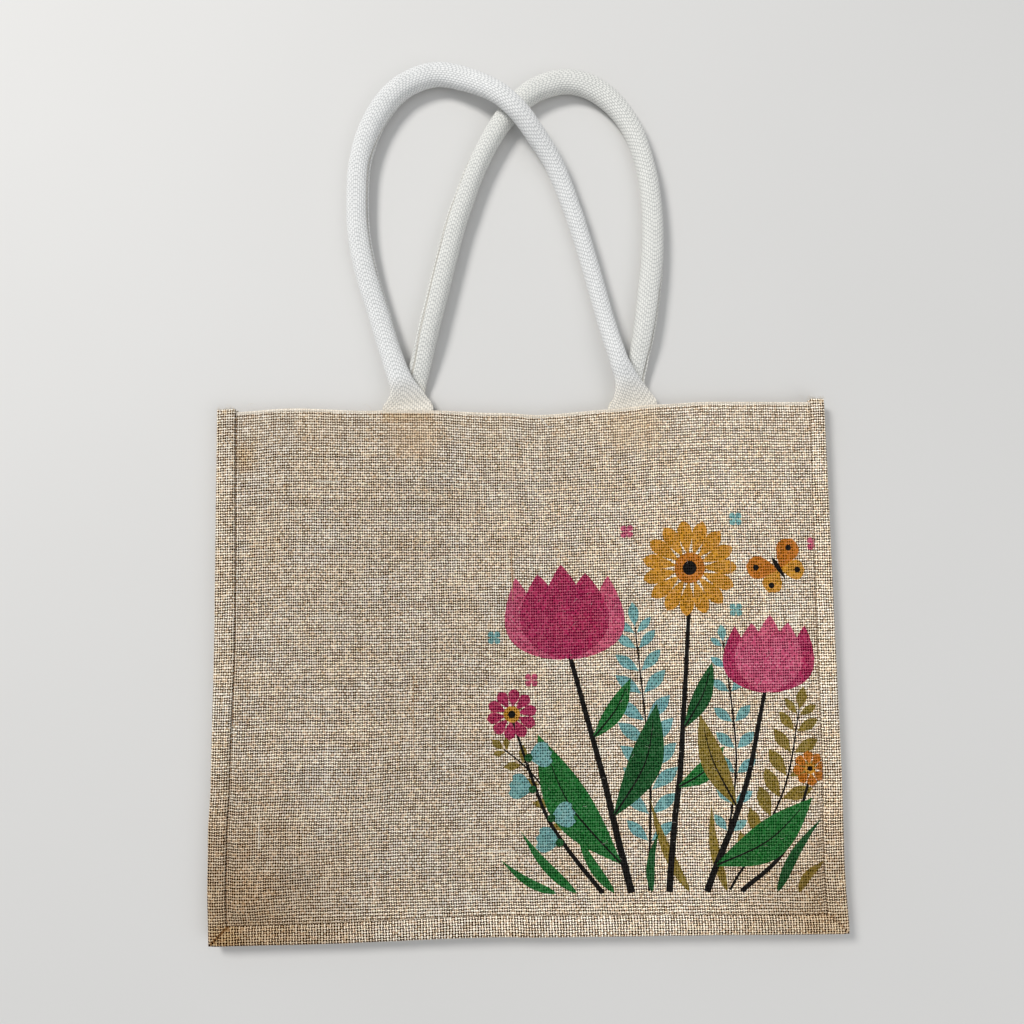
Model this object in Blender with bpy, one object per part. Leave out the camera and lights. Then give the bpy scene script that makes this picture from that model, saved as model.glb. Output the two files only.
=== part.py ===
"""Jute tote bag, lying on its back with its side and base gussets folded in between the panels.

The cloth pieces are stacked sheets over one shared cutting pattern. Each sheet is a set of
pattern triangles between two surfaces, and a fold is a narrow strip where two sheets join.
Lengths are in millimetres until a mesh is made; +Y points to the handles and +Z up.
"""

import math

import bmesh
import bpy
from mathutils import Vector
from mathutils.geometry import delaunay_2d_cdt

MM = 0.001

# Bag, measured from its bottom edge (y = 0) and its middle (x = 0)
BAG_WIDTH = 440.0
HALF_WIDTH = BAG_WIDTH / 2
PANEL_TOP = 370.0
BINDING_TOP = 372.0
BOX_MIDDLE_X = -0.55
BOX_MIDDLE_Y = 317.8

# Cloth
CLOTH = 1.2
GAP = 0.3
PITCH = CLOTH + GAP
SIDE_BINDING = 14.0
BASE_BINDING = 16.0
HEM = 25.0
HEM_TOP = PANEL_TOP - CLOTH
EDGE_SEAT = CLOTH + GAP

# Gussets, as distances from the bag's edges
FOLD = 112.0
TUCK = 22.0
BASE_FOLD = FOLD - PITCH
DIAGONAL_STRIP = CLOTH * math.sqrt(2)

# Heights of the lower face of the front panel
FRONT_IN_BINDING = 6 * PITCH
FRONT_OVER_TUCK = 7 * PITCH
FRONT_OVER_SIDE_FOLD = 8.9
FRONT_MIDDLE = 7.9
FRONT_AT_HEM = 9.0
FRONT_AT_TABS = 7 * PITCH
BASE_LEAF = 4 * PITCH

# Widths of the soft slopes between those heights
BINDING_SLOPE = 5.5
FOLD_SLOPE = 26.0
TUCK_RISE = 38.0
HEM_RISE_FROM = 308.0
HEM_RISE = 30.0
TAB_RISE_FROM = 305.0
TAB_RISE = 25.0
TAB_SLOPE = 17.0
EDGE_FADE = 3

# Handles
ROPE_WIDTH = 16.5
ROPE_HEIGHT = 13.0
TAB_WIDTH = 38.0
TAB_THICK = 2.6
TAB_CENTRE = 82.0
TAB_END = 336.0
FRONT_TAB_Z = FRONT_AT_TABS - PITCH - GAP - TAB_THICK / 2
BACK_TAB_Z = 2 * PITCH + TAB_THICK / 2
CROSSING = (-3.6, 597.7)
CROSSING_LIFT = ROPE_HEIGHT + 0.8
CROSSING_REACH = 40.0
ROPE_SIDES = 10
ROPE_STEP = 15.0
ROPE_ROUNDNESS = 2.2
TAB_SQUARENESS = 3.0
REST_CLEARANCE = 0.2
ROPE_Z = ROPE_HEIGHT / 2 + REST_CLEARANCE

# Grid lines of the pattern, as distances from the side edge and from the bottom edge
TAB_OUTER = HALF_WIDTH - TAB_CENTRE - TAB_WIDTH / 2 - EDGE_SEAT
TAB_INNER = HALF_WIDTH - TAB_CENTRE + TAB_WIDTH / 2 + EDGE_SEAT
SIDE_LINES = (0.0, EDGE_SEAT, SIDE_BINDING, TUCK, 45.0, 68.0, 90.0, FOLD, TAB_OUTER, 138.0,
              TAB_INNER, 190.0)
HEIGHT_LINES = (0.0, EDGE_SEAT, BASE_BINDING, TUCK, 45.0, 68.0, 90.0, FOLD, 135.0, 165.0, 205.0,
                255.0, 305.0, 330.0, PANEL_TOP - HEM, HEM_TOP, PANEL_TOP, BINDING_TOP)

PATTERN_TOLERANCE = 1e-5

# How far the lying bag's edges stray from a true rectangle: place along the edge, offset
TOP_EDGE = ((-220, 0.0), (-206, 0.7), (-169, 2.7), (-102, -0.2), (-64, -0.8), (-15, -3.0),
            (12, -5.0), (64, -2.0), (99, 1.1), (132, 2.8), (208, 1.6), (220, 1.5))
BOTTOM_EDGE = ((-220, -0.4), (-164, -0.2), (-20, 2.2), (7, 1.4), (91, 1.0), (220, 0.0))
LEFT_EDGE = ((0, -0.6), (40, -1.8), (76, -1.9), (109, -0.6), (207, 0.3), (347, 0.0), (372, 0.0))
RIGHT_EDGE = ((0, -0.2), (41, -1.3), (115, 0.0), (200, 0.2), (287, 0.6), (354, 0.8), (372, 0.7))

# Soft creases pressed into the front panel: start, end, half width, height
CREASES = (
    ((-110.0, 200.0), (-20.0, 243.0), 14.0, 0.6),
    ((-20.0, 243.0), (40.0, 300.0), 16.0, 0.3),
    ((-60.0, 300.0), (-50.0, 120.0), 22.0, -0.3),
    ((70.0, 250.0), (60.0, 80.0), 26.0, 0.5),
)

# Handle routes from tab to tab: x, y, z, width, height. None takes the rope's own size.
FRONT_ROUTE = (
    (-82, TAB_END, FRONT_TAB_Z, TAB_WIDTH, TAB_THICK),
    (-82, 354, FRONT_TAB_Z, TAB_WIDTH, TAB_THICK),
    (-82.5, 371, FRONT_TAB_Z, 37.5, TAB_THICK),
    (-83.6, 377, 8.6, 32, 3.8),
    (-83.6, 384, 10.6, 22.5, 7.0),
    (-87.3, 393, 12.0, 17.5, 11),
    (-95, 415, 8.8, 16, None),
    (-104, 445, ROPE_Z, 16, None),
    (-113, 476, ROPE_Z, None, None),
    (-118, 504, ROPE_Z, None, None),
    (-119, 532, ROPE_Z, None, None),
    (-117, 560, ROPE_Z, None, None),
    (-109, 587, ROPE_Z, 17, None),
    (-95, 609.5, ROPE_Z, 17.5, None),
    (-79, 622, ROPE_Z, 17.5, None),
    (-59, 627.5, ROPE_Z, 17.5, None),
    (-39, 621.8, ROPE_Z, 17, None),
    (-18, 609, ROPE_Z, 15.6, None),
    (-1.2, 593.8, ROPE_Z, 15, None),
    (12.6, 577.5, ROPE_Z, 15, None),
    (28, 555, ROPE_Z, 14.3, None),
    (40, 524, ROPE_Z, 13.5, None),
    (49.5, 492, ROPE_Z, 13, None),
    (57.5, 461, ROPE_Z, 13, None),
    (64.8, 431, 8.5, 13, None),
    (71.5, 405, 13.2, 13.5, 12),
    (76.8, 391, 12.4, 17, 9.6),
    (80, 382, 10.0, 24, 6.0),
    (81.4, 376, 8.4, 31, 3.6),
    (81.8, 371, FRONT_TAB_Z, 36, TAB_THICK),
    (82, 354, FRONT_TAB_Z, TAB_WIDTH, TAB_THICK),
    (82, TAB_END, FRONT_TAB_Z, TAB_WIDTH, TAB_THICK),
)
BACK_ROUTE = (
    (-82, TAB_END, BACK_TAB_Z, TAB_WIDTH, TAB_THICK),
    (-82, 354, BACK_TAB_Z, TAB_WIDTH, TAB_THICK),
    (-82.5, 371, BACK_TAB_Z, 36, TAB_THICK),
    (-82, 377, 4.1, 28, 3.2),
    (-79, 387, 3.7, 19, 5.4),
    (-73.5, 403, 5.0, 15.8, 9.4),
    (-67.3, 429, ROPE_Z, 15.6, None),
    (-60.2, 457, ROPE_Z, 16, None),
    (-53.4, 484, ROPE_Z, 16, None),
    (-46.8, 508, ROPE_Z, 15.6, None),
    (-38.8, 531, ROPE_Z, 15, None),
    (-30, 554, ROPE_Z, 14.6, None),
    (-19, 576, ROPE_Z, 15, None),
    (-8, 593, ROPE_Z, 16, None),
    (8, 610, ROPE_Z, 17, None),
    (24, 618.5, ROPE_Z, 17.6, None),
    (42, 621, ROPE_Z, 17.6, None),
    (60, 615, ROPE_Z, 17.4, None),
    (76, 601, ROPE_Z, 16.4, None),
    (88, 582, ROPE_Z, 15, None),
    (95.5, 559, ROPE_Z, 14.4, None),
    (99.6, 535, ROPE_Z, 14.8, None),
    (100.8, 508, ROPE_Z, 15.6, None),
    (99.6, 482, ROPE_Z, 16.2, None),
    (96, 454, ROPE_Z, None, None),
    (91.8, 427, 6.2, 15.8, 12.4),
    (87.2, 405, 4.6, 14.6, 8.8),
    (84, 391, 3.9, 15.5, 5.8),
    (82.5, 382, 4.0, 20, 4.2),
    (82, 376, 4.2, 28, 3.0),
    (81.8, 371, BACK_TAB_Z, 35, TAB_THICK),
    (82, 354, BACK_TAB_Z, TAB_WIDTH, TAB_THICK),
    (82, TAB_END, BACK_TAB_Z, TAB_WIDTH, TAB_THICK),
)

# Material name, colour, roughness
JUTE_FRONT = ("jute_front", (0.46, 0.37, 0.27), 0.9)
JUTE_BACK = ("jute_back", (0.45, 0.36, 0.26), 0.9)
JUTE_SIDE = ("jute_side", (0.43, 0.34, 0.25), 0.92)
JUTE_BINDING = ("jute_binding", (0.47, 0.38, 0.28), 0.9)
COTTON_WEBBING = ("cotton_webbing", (0.76, 0.75, 0.71), 0.85)


def soft_step(value):
    """0 below zero, 1 above one, with a smooth slope between."""
    clamped = min(max(value, 0.0), 1.0)
    return clamped * clamped * (3.0 - 2.0 * clamped)


def mix(first, second, share):
    return first + (second - first) * share


def along_table(table, place):
    """Read a table of (place, offset) rows with a smooth slope between the rows."""
    if place <= table[0][0]:
        return table[0][1]
    for (low, low_value), (high, high_value) in zip(table, table[1:]):
        if place <= high:
            return mix(low_value, high_value, soft_step((place - low) / (high - low)))
    return table[-1][1]


def crease_height(x, y):
    """Sum of the soft creases at a point of the front panel."""
    total = 0.0
    for (ax, ay), (bx, by), half_width, height in CREASES:
        run_x, run_y = bx - ax, by - ay
        share = ((x - ax) * run_x + (y - ay) * run_y) / (run_x ** 2 + run_y ** 2)
        share = min(max(share, 0.0), 1.0)
        away = math.hypot(x - ax - share * run_x, y - ay - share * run_y)
        total += height * (1.0 - soft_step(away / (2 * half_width)))
    return total


def in_binding(side, y):
    """1 under the edge binding, 0 a little way inside it."""
    from_side = 1.0 - soft_step((side - SIDE_BINDING - GAP) / BINDING_SLOPE)
    from_base = 1.0 - soft_step((y - BASE_BINDING - GAP) / BINDING_SLOPE)
    return max(from_side, from_base)


def over_tuck(side, y):
    """1 over the tucked corner triangle, 0 past its slopes."""
    past_diagonal = soft_step(((side - y) / math.sqrt(2) - EDGE_SEAT) / FOLD_SLOPE)
    past_top = soft_step((y - FOLD - EDGE_SEAT) / TUCK_RISE)
    past_fold = soft_step((side - FOLD - EDGE_SEAT) / FOLD_SLOPE)
    return (1.0 - past_diagonal) * (1.0 - past_top) * (1.0 - past_fold)


def over_side_fold(side, y):
    """1 over the folded side gusset, 0 past its inner crease."""
    past_diagonal = soft_step(((side - y) / math.sqrt(2) - EDGE_SEAT) / FOLD_SLOPE)
    past_fold = soft_step((side - FOLD - EDGE_SEAT) / FOLD_SLOPE)
    return (1.0 - past_diagonal) * (1.0 - past_fold)


def at_hem(y):
    return soft_step((y - HEM_RISE_FROM) / HEM_RISE)


def at_tabs(x, y):
    """1 where the handle tabs lie behind the top hem."""
    aside = abs(abs(x) - TAB_CENTRE) - TAB_WIDTH / 2 - EDGE_SEAT
    return (1.0 - soft_step(aside / TAB_SLOPE)) * soft_step((y - TAB_RISE_FROM) / TAB_RISE)


def front_panel_height(x, y):
    """Lower face of the front panel above the surface the bag lies on."""
    side = HALF_WIDTH - abs(x)
    height = mix(FRONT_MIDDLE + crease_height(x, y), FRONT_OVER_SIDE_FOLD, over_side_fold(side, y))
    height = mix(height, FRONT_OVER_TUCK, over_tuck(side, y))
    height = max(height, mix(height, FRONT_AT_HEM, at_hem(y)))
    height = max(height, mix(height, FRONT_AT_TABS, at_tabs(x, y)))
    return mix(height, FRONT_IN_BINDING, in_binding(side, y))


def surface_heights(x, y):
    """Lower and upper height of every sheet at a point, by the sheet's name."""
    side = HALF_WIDTH - abs(x)
    binding = in_binding(side, y)
    tuck = over_tuck(side, y)
    hem = at_hem(y) * (1.0 - binding)
    front = front_panel_height(x, y)
    back = PITCH * binding
    base_binding = 1.0 - soft_step((y - BASE_BINDING - GAP) / BINDING_SLOPE)
    lows = {
        "back_binding_low": 0.0,
        "back_panel": back,
        "back_hem": back + PITCH,
        "side_back": back + PITCH * (1.0 + hem),
        "back_binding_high": 3 * PITCH,
        "base_back": mix(PITCH * (1.0 + 2.0 * tuck), 2 * PITCH, base_binding),
        "base_front": mix(BASE_LEAF, 5 * PITCH, base_binding),
        "front_binding_low": 4 * PITCH,
        "side_front": front - PITCH * (1.0 + hem),
        "front_hem": front - PITCH,
        "front_panel": front,
        "front_binding_high": 7 * PITCH,
    }
    heights = {name: (low, low + CLOTH) for name, low in lows.items()}
    low_room = heights["side_back"][1]
    room = lows["side_front"] - low_room
    full_room = 4 * PITCH + GAP
    heights["tuck_back"] = tuple(low_room + room * share / full_room for share in (GAP, PITCH))
    heights["tuck_front"] = tuple(
        low_room + room * (full_room - share) / full_room for share in (PITCH, GAP))
    return heights


def laid_place(x, y):
    """Where a point of the true rectangle lies once the bag is laid down."""
    up = min(max(y / PANEL_TOP, 0.0), 1.0)
    right = min(max(x / BAG_WIDTH + 0.5, 0.0), 1.0)
    shift_x = mix(along_table(LEFT_EDGE, y), along_table(RIGHT_EDGE, y), right)
    shift_y = along_table(TOP_EDGE, x) * up ** EDGE_FADE
    shift_y += along_table(BOTTOM_EDGE, x) * (1.0 - up) ** EDGE_FADE
    return x + shift_x, y + shift_y


def both_sides(lines):
    """A line given on the left is also drawn on the right."""
    mirrored = [tuple((-x, y) for x, y in line) for line in lines]
    return list(lines) + mirrored


def pattern_lines():
    """Every grid, fold and edge line of the cutting pattern."""
    lines = [((-HALF_WIDTH, y), (HALF_WIDTH, y)) for y in HEIGHT_LINES]
    lines.append(((0.0, 0.0), (0.0, BINDING_TOP)))
    from_left = [((side - HALF_WIDTH, 0.0), (side - HALF_WIDTH, BINDING_TOP)) for side in SIDE_LINES]
    rim = CLOTH - HALF_WIDTH
    crease = FOLD - HALF_WIDTH
    tuck = TUCK - HALF_WIDTH
    from_left.append(((rim, 0.0), (rim, BINDING_TOP)))
    from_left.append(((crease - CLOTH, FOLD - CLOTH), (crease - CLOTH, HEM_TOP)))
    from_left.append(((tuck, FOLD - CLOTH), (crease, FOLD - CLOTH)))
    from_left.append(((tuck, TUCK), (crease, FOLD)))
    from_left.append(((tuck, TUCK + DIAGONAL_STRIP), (crease - DIAGONAL_STRIP, FOLD)))
    lines.extend(both_sides(from_left))
    lines.append(((-HALF_WIDTH, CLOTH), (HALF_WIDTH, CLOTH)))
    for y in (BASE_FOLD - CLOTH, BASE_FOLD):
        lines.append(((tuck, y), (-tuck, y)))
    return lines


def cutting_pattern():
    """Triangles of the shared pattern: points and index triples."""
    points = []
    edges = []
    for start, end in pattern_lines():
        edges.append((len(points), len(points) + 1))
        points.append(Vector(start))
        points.append(Vector(end))
    flat_points, _, faces, _, _, _ = delaunay_2d_cdt(points, edges, [], 0, PATTERN_TOLERANCE)
    return [tuple(point) for point in flat_points], [tuple(face) for face in faces]


def sheet(name):
    """A single sheet as a column of its two surfaces."""
    return ((name, 0), (name, 1))


def join(*names):
    """Several sheets that join at a fold, with the room between them filled."""
    return tuple(surface for name in names for surface in sheet(name))


def panel_columns(which, side, y):
    """The panel's own sheet, its turned top hem and the fold between the two."""
    if side < EDGE_SEAT or y < EDGE_SEAT or y > PANEL_TOP:
        return []
    panel, hem = which + "_panel", which + "_hem"
    if side < TUCK or y < PANEL_TOP - HEM:
        return [sheet(panel)]
    if y > HEM_TOP:
        return [join(panel, hem) if which == "back" else join(hem, panel)]
    return [sheet(panel), sheet(hem)]


def side_gusset_columns(side, y):
    """A pleat between the panels; under it the cloth turns back on the corner's diagonal."""
    if not EDGE_SEAT < side < FOLD or not TUCK < y < HEM_TOP:
        return []
    if y < FOLD and y < side:
        return []
    low_turn, high_turn = join("side_back", "tuck_back"), join("tuck_front", "side_front")
    if side > FOLD - CLOTH and y > FOLD - CLOTH:
        return [low_turn + high_turn]
    if y > FOLD or side < TUCK:
        return [sheet("side_back"), sheet("side_front")]
    if y > FOLD - CLOTH:
        if y - side < DIAGONAL_STRIP:
            return [low_turn + high_turn]
        return [sheet("side_back"), join("tuck_back", "tuck_front"), sheet("side_front")]
    if y - side < DIAGONAL_STRIP:
        return [low_turn, high_turn]
    return [sheet(name) for name in ("side_back", "tuck_back", "tuck_front", "side_front")]


def base_gusset_columns(side, y):
    """A pleat pushed up between the panels, its ends held in the tucked corners."""
    if side < TUCK or not EDGE_SEAT < y < BASE_FOLD:
        return []
    if y > BASE_FOLD - CLOTH:
        return [join("base_back", "base_front")]
    return [sheet("base_back"), sheet("base_front")]


def binding_columns(which, side, y):
    """A strip folded over the panel's and the gusset's edges on three sides."""
    if side > SIDE_BINDING and y > BASE_BINDING:
        return []
    low, high = which + "_binding_low", which + "_binding_high"
    if side < CLOTH or y < CLOTH:
        return [join(low, high)]
    return [sheet(low), sheet(high)]


def slabs_of(column):
    return list(zip(column, column[1:]))


def shell_faces(triangles, columns):
    """Boundary faces of all occupied slabs; corners are (pattern point, surface)."""
    owners = {}
    for index, triangle in enumerate(triangles):
        slabs = {slab for column in columns[index] for slab in slabs_of(column)}
        for start, end in zip(triangle, triangle[1:] + triangle[:1]):
            owners[(start, end)] = slabs
    faces = []
    for index, triangle in enumerate(triangles):
        for column in columns[index]:
            faces.append([(point, column[-1]) for point in triangle])
            faces.append([(point, column[0]) for point in reversed(triangle)])
            for low, high in slabs_of(column):
                for start, end in zip(triangle, triangle[1:] + triangle[:1]):
                    if (low, high) not in owners.get((end, start), ()):
                        faces.append([(start, low), (end, low), (end, high), (start, high)])
    return faces


def to_scene(x, y, z):
    """Bag millimetres to the part's metres, with the origin under the middle of its box."""
    return ((x - BOX_MIDDLE_X) * MM, (y - BOX_MIDDLE_Y) * MM, z * MM)


def material(name, colour, roughness):
    made = bpy.data.materials.new(name)
    made.use_nodes = True
    shader = made.node_tree.nodes["Principled BSDF"]
    shader.inputs["Base Color"].default_value = (*colour, 1.0)
    shader.inputs["Roughness"].default_value = roughness
    shader.inputs["Metallic"].default_value = 0.0
    return made


def add_object(name, mesh, finish, collection):
    mesh.materials.append(finish)
    made = bpy.data.objects.new(name, mesh)
    collection.objects.link(made)
    return made


def cloth_object(name, pattern, columns_at, finish, collection):
    """Build one cloth piece from the pattern triangles that its columns occupy."""
    points, triangles = pattern
    columns = []
    for triangle in triangles:
        x = sum(points[corner][0] for corner in triangle) / 3
        y = sum(points[corner][1] for corner in triangle) / 3
        columns.append(columns_at(x, y))
    heights = {}
    corners = {}
    shell = bmesh.new()

    def vertex(point, surface):
        key = (point, surface)
        if key not in corners:
            x, y = points[point]
            if point not in heights:
                heights[point] = surface_heights(x, y)
            laid_x, laid_y = laid_place(x, y)
            z = heights[point][surface[0]][surface[1]]
            corners[key] = shell.verts.new(to_scene(laid_x, laid_y, z))
        return corners[key]

    for face in shell_faces(triangles, columns):
        shell.faces.new([vertex(point, surface) for point, surface in face])
    mesh = bpy.data.meshes.new(name)
    shell.to_mesh(mesh)
    shell.free()
    return add_object(name, mesh, finish, collection)


def smooth_route(rows):
    """Even stations on a smooth curve through the rows."""
    full = [tuple(row[:3]) + (row[3] or ROPE_WIDTH, row[4] or ROPE_HEIGHT) for row in rows]
    padded = [full[0]] + full + [full[-1]]
    stations = []
    for before, start, end, after in zip(padded, padded[1:], padded[2:], padded[3:]):
        steps = max(1, round(math.dist(start[:2], end[:2]) / ROPE_STEP))
        for step in range(steps):
            t = step / steps
            station = []
            for a, b, c, d in zip(before, start, end, after):
                station.append(0.5 * (2 * b + (c - a) * t + (2 * a - 5 * b + 4 * c - d) * t ** 2
                                      + (3 * b - a - 3 * c + d) * t ** 3))
            stations.append(station)
    stations.append(list(full[-1]))
    return stations


def lift_at_crossing(stations):
    """Raise the upper handle in a long low hump where it lies over the lower one."""
    for station in stations:
        away = math.dist(station[:2], CROSSING)
        station[2] += CROSSING_LIFT * math.exp(-(away / CROSSING_REACH) ** 2)


def section_ring(station, tangent):
    """Corners of the webbing's section: a rolled rope that opens into a flat tab."""
    x, y, z, width, height = station
    centre = Vector((x, y, z))
    across = tangent.cross(Vector((0, 0, 1))).normalized()
    upward = across.cross(tangent).normalized()
    flatness = min(max((width - ROPE_WIDTH) / (TAB_WIDTH - ROPE_WIDTH), 0.0), 1.0)
    power = 2.0 / (ROPE_ROUNDNESS + TAB_SQUARENESS * flatness)
    ring = []
    for corner in range(ROPE_SIDES):
        angle = 2 * math.pi * (corner + 0.5) / ROPE_SIDES
        aside = math.copysign(abs(math.cos(angle)) ** power, math.cos(angle)) * width / 2
        above = math.copysign(abs(math.sin(angle)) ** power, math.sin(angle)) * height / 2
        ring.append(centre + across * aside + upward * above)
    return ring


def handle_object(name, rows, lifted, finish, collection):
    """Loft the webbing's sections along its route from one tab to the other."""
    stations = smooth_route(rows)
    if lifted:
        lift_at_crossing(stations)
    places = [Vector(station[:3]) for station in stations]
    loft = bmesh.new()
    rings = []
    for index, station in enumerate(stations):
        ahead = places[min(index + 1, len(places) - 1)]
        behind = places[max(index - 1, 0)]
        ring = section_ring(station, (ahead - behind).normalized())
        rings.append([loft.verts.new(to_scene(*corner)) for corner in ring])
    for ring, following in zip(rings, rings[1:]):
        for corner in range(ROPE_SIDES):
            after = (corner + 1) % ROPE_SIDES
            loft.faces.new((ring[corner], ring[after], following[after], following[corner]))
    loft.faces.new(list(reversed(rings[0])))
    loft.faces.new(rings[-1])
    bmesh.ops.recalc_face_normals(loft, faces=loft.faces)
    mesh = bpy.data.meshes.new(name)
    loft.to_mesh(mesh)
    loft.free()
    mesh.shade_smooth()
    return add_object(name, mesh, finish, collection)


def side_of(x):
    return HALF_WIDTH - abs(x)


def build_cloth(collection):
    pattern = cutting_pattern()
    front = material(*JUTE_FRONT)
    back = material(*JUTE_BACK)
    side = material(*JUTE_SIDE)
    binding = material(*JUTE_BINDING)
    pieces = (
        ("back_panel", lambda x, y: panel_columns("back", side_of(x), y), back),
        ("front_panel", lambda x, y: panel_columns("front", side_of(x), y), front),
        ("side_gusset_left", lambda x, y: side_gusset_columns(side_of(x), y) if x < 0 else [], side),
        ("side_gusset_right", lambda x, y: side_gusset_columns(side_of(x), y) if x > 0 else [], side),
        ("base_gusset", lambda x, y: base_gusset_columns(side_of(x), y), side),
        ("back_binding", lambda x, y: binding_columns("back", side_of(x), y), binding),
        ("front_binding", lambda x, y: binding_columns("front", side_of(x), y), binding),
    )
    for name, columns_at, finish in pieces:
        cloth_object(name, pattern, columns_at, finish, collection)


def build_handles(collection):
    webbing = material(*COTTON_WEBBING)
    handle_object("handle_back", BACK_ROUTE, False, webbing, collection)
    handle_object("handle_front", FRONT_ROUTE, True, webbing, collection)


def main():
    for leftover in list(bpy.data.objects):
        bpy.data.objects.remove(leftover, do_unlink=True)
    collection = bpy.data.collections.new("jute_tote_bag")
    bpy.context.scene.collection.children.link(collection)
    build_cloth(collection)
    build_handles(collection)


main()
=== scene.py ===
import math
import random

import bmesh
import bpy
import numpy as np
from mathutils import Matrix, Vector, noise
from mathutils.geometry import delaunay_2d_cdt


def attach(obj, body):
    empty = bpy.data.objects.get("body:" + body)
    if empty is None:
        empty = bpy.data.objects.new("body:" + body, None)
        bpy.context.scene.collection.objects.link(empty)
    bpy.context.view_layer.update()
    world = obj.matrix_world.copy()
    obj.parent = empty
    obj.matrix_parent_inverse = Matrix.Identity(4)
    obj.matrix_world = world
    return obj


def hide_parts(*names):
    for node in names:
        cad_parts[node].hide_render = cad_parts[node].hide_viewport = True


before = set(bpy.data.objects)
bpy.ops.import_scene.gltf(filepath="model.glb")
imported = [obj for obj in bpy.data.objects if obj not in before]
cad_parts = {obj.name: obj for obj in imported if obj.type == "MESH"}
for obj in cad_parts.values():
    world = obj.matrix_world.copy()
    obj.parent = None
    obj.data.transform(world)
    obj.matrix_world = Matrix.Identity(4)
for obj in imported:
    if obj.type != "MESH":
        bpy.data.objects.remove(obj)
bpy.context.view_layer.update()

MM = 0.001
ROOT_TWO = math.sqrt(2)

# The bag's own sizes, in millimetres from its bottom edge and its middle, as in the frame
BAG_WIDTH = 440.0
HALF_WIDTH = BAG_WIDTH / 2
PANEL_TOP = 370.0
BINDING_TOP = 372.0
BOX_MIDDLE_X = -0.55
BOX_MIDDLE_Y = 317.8
CLOTH = 1.2
GAP = 0.3
PITCH = CLOTH + GAP
SIDE_BINDING = 14.0
BASE_BINDING = 16.0
HEM = 25.0
HEM_TOP = PANEL_TOP - CLOTH
HEM_RADIUS = PITCH / 2
HEM_TURN = math.pi * HEM_RADIUS
CUT_HEIGHT = HEM_TOP + HEM_TURN + HEM - CLOTH
FOLD = 112.0

# Heights of the front panel's lower face
FRONT_IN_BINDING = 6 * PITCH
FRONT_OVER_TUCK = 7 * PITCH
FRONT_OVER_SIDE_FOLD = 8.9
FRONT_MIDDLE = 7.9
FRONT_AT_HEM = 9.0
FRONT_AT_TABS = 7 * PITCH

# The soft slopes between those heights
BINDING_SLOPE = 5.5
FOLD_SLOPE = 26.0
TUCK_RISE = 38.0
HEM_RISE_FROM = 308.0
HEM_RISE = 30.0
TAB_RISE_FROM = 305.0
TAB_RISE = 25.0
TAB_SLOPE = 17.0
EDGE_FADE = 3

# Handles
ROPE_WIDTH = 16.5
ROPE_HEIGHT = 13.0
ROPE_Z = ROPE_HEIGHT / 2 + 0.2
TAB_WIDTH = 38.0
TAB_THICK = 2.6
TAB_CENTRE = 82.0
TAB_ROWS = (336.0, 354.0)
FRONT_TAB_Z = FRONT_AT_TABS - PITCH - GAP - TAB_THICK / 2
BACK_TAB_Z = 2 * PITCH + TAB_THICK / 2
CROSSING = (-3.6, 597.7)
CROSSING_LIFT = ROPE_HEIGHT + 0.8
CROSSING_REACH = 40.0

# How far the lying bag's edges stray from a true rectangle: place along the edge, offset
TOP_EDGE = ((-220, 0.0), (-206, 0.7), (-169, 2.7), (-102, -0.2), (-64, -0.8), (-15, -3.0),
            (12, -5.0), (64, -2.0), (99, 1.1), (132, 2.8), (208, 1.6), (220, 1.5))
BOTTOM_EDGE = ((-220, -0.4), (-164, -0.2), (-20, 2.2), (7, 1.4), (91, 1.0), (220, 0.0))
LEFT_EDGE = ((0, -0.6), (40, -1.8), (76, -1.9), (109, -0.6), (207, 0.3), (347, 0.0), (372, 0.0))
RIGHT_EDGE = ((0, -0.2), (41, -1.3), (115, 0.0), (200, 0.2), (287, 0.6), (354, 0.8), (372, 0.7))

# Widths of the edge strips as they show on the front: place along the edge, width
STRIP_WIDTHS = {
    "left": ((0, 12.8), (13, 12.8), (109, 13.4), (207, 14.9), (371, 13.7)),
    "right": ((0, 14.5), (14, 14.5), (200, 12.8), (287, 12.0), (371, 10.4)),
    "base": ((-206, 13.6), (-110, 14.2), (-20, 15.0), (7, 14.8), (205, 13.6)),
}

# Soft creases and wrinkles of the front: points on their line, half width, height
CREASES = (
    (((-110, 200), (-20, 243)), 14.0, 0.6),
    (((-20, 243), (40, 300)), 16.0, 0.3),
    (((-60, 300), (-50, 120)), 22.0, -0.3),
    (((70, 250), (60, 80)), 26.0, 0.5),
)
WRINKLES = (
    (((-110, 198), (-78, 201), (-57, 208), (-42, 225), (-14, 238)), 5.0, 0.62),
    (((-14, 238), (18, 262), (44, 300)), 9.0, 0.35),
    (((-148, 150), (-120, 172), (-84, 178)), 7.0, 0.40),
    (((-60, 96), (-22, 122), (6, 160)), 8.0, 0.42),
    (((-186, 268), (-150, 262), (-118, 276)), 9.0, 0.35),
    (((120, 40), (150, 70), (160, 112)), 8.0, 0.35),
)


# Small helpers

def mix(first, second, share):
    return first + (second - first) * share


def rise(value, start=0.0, length=1.0):
    """0 up to the start, 1 a length further on, with a smooth slope between."""
    share = min(max((value - start) / length, 0.0), 1.0)
    return share * share * (3.0 - 2.0 * share)


def fall(value, start=0.0, length=1.0):
    return 1.0 - rise(value, start, length)


def bell(value):
    """1 at zero, falling smoothly to both sides."""
    return math.exp(-value * value)


def along_table(table, place):
    """Read a table of (place, offset) rows with a smooth slope between the rows."""
    if place <= table[0][0]:
        return table[0][1]
    for (low, low_value), (high, high_value) in zip(table, table[1:]):
        if place <= high:
            return mix(low_value, high_value, rise(place, low, high - low))
    return table[-1][1]


def unevenness(x, y, size, seed=0.0):
    """Smooth noise about zero, with lumps of roughly the given size in millimetres."""
    return noise.noise(Vector((x / size, y / size, seed)))


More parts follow.
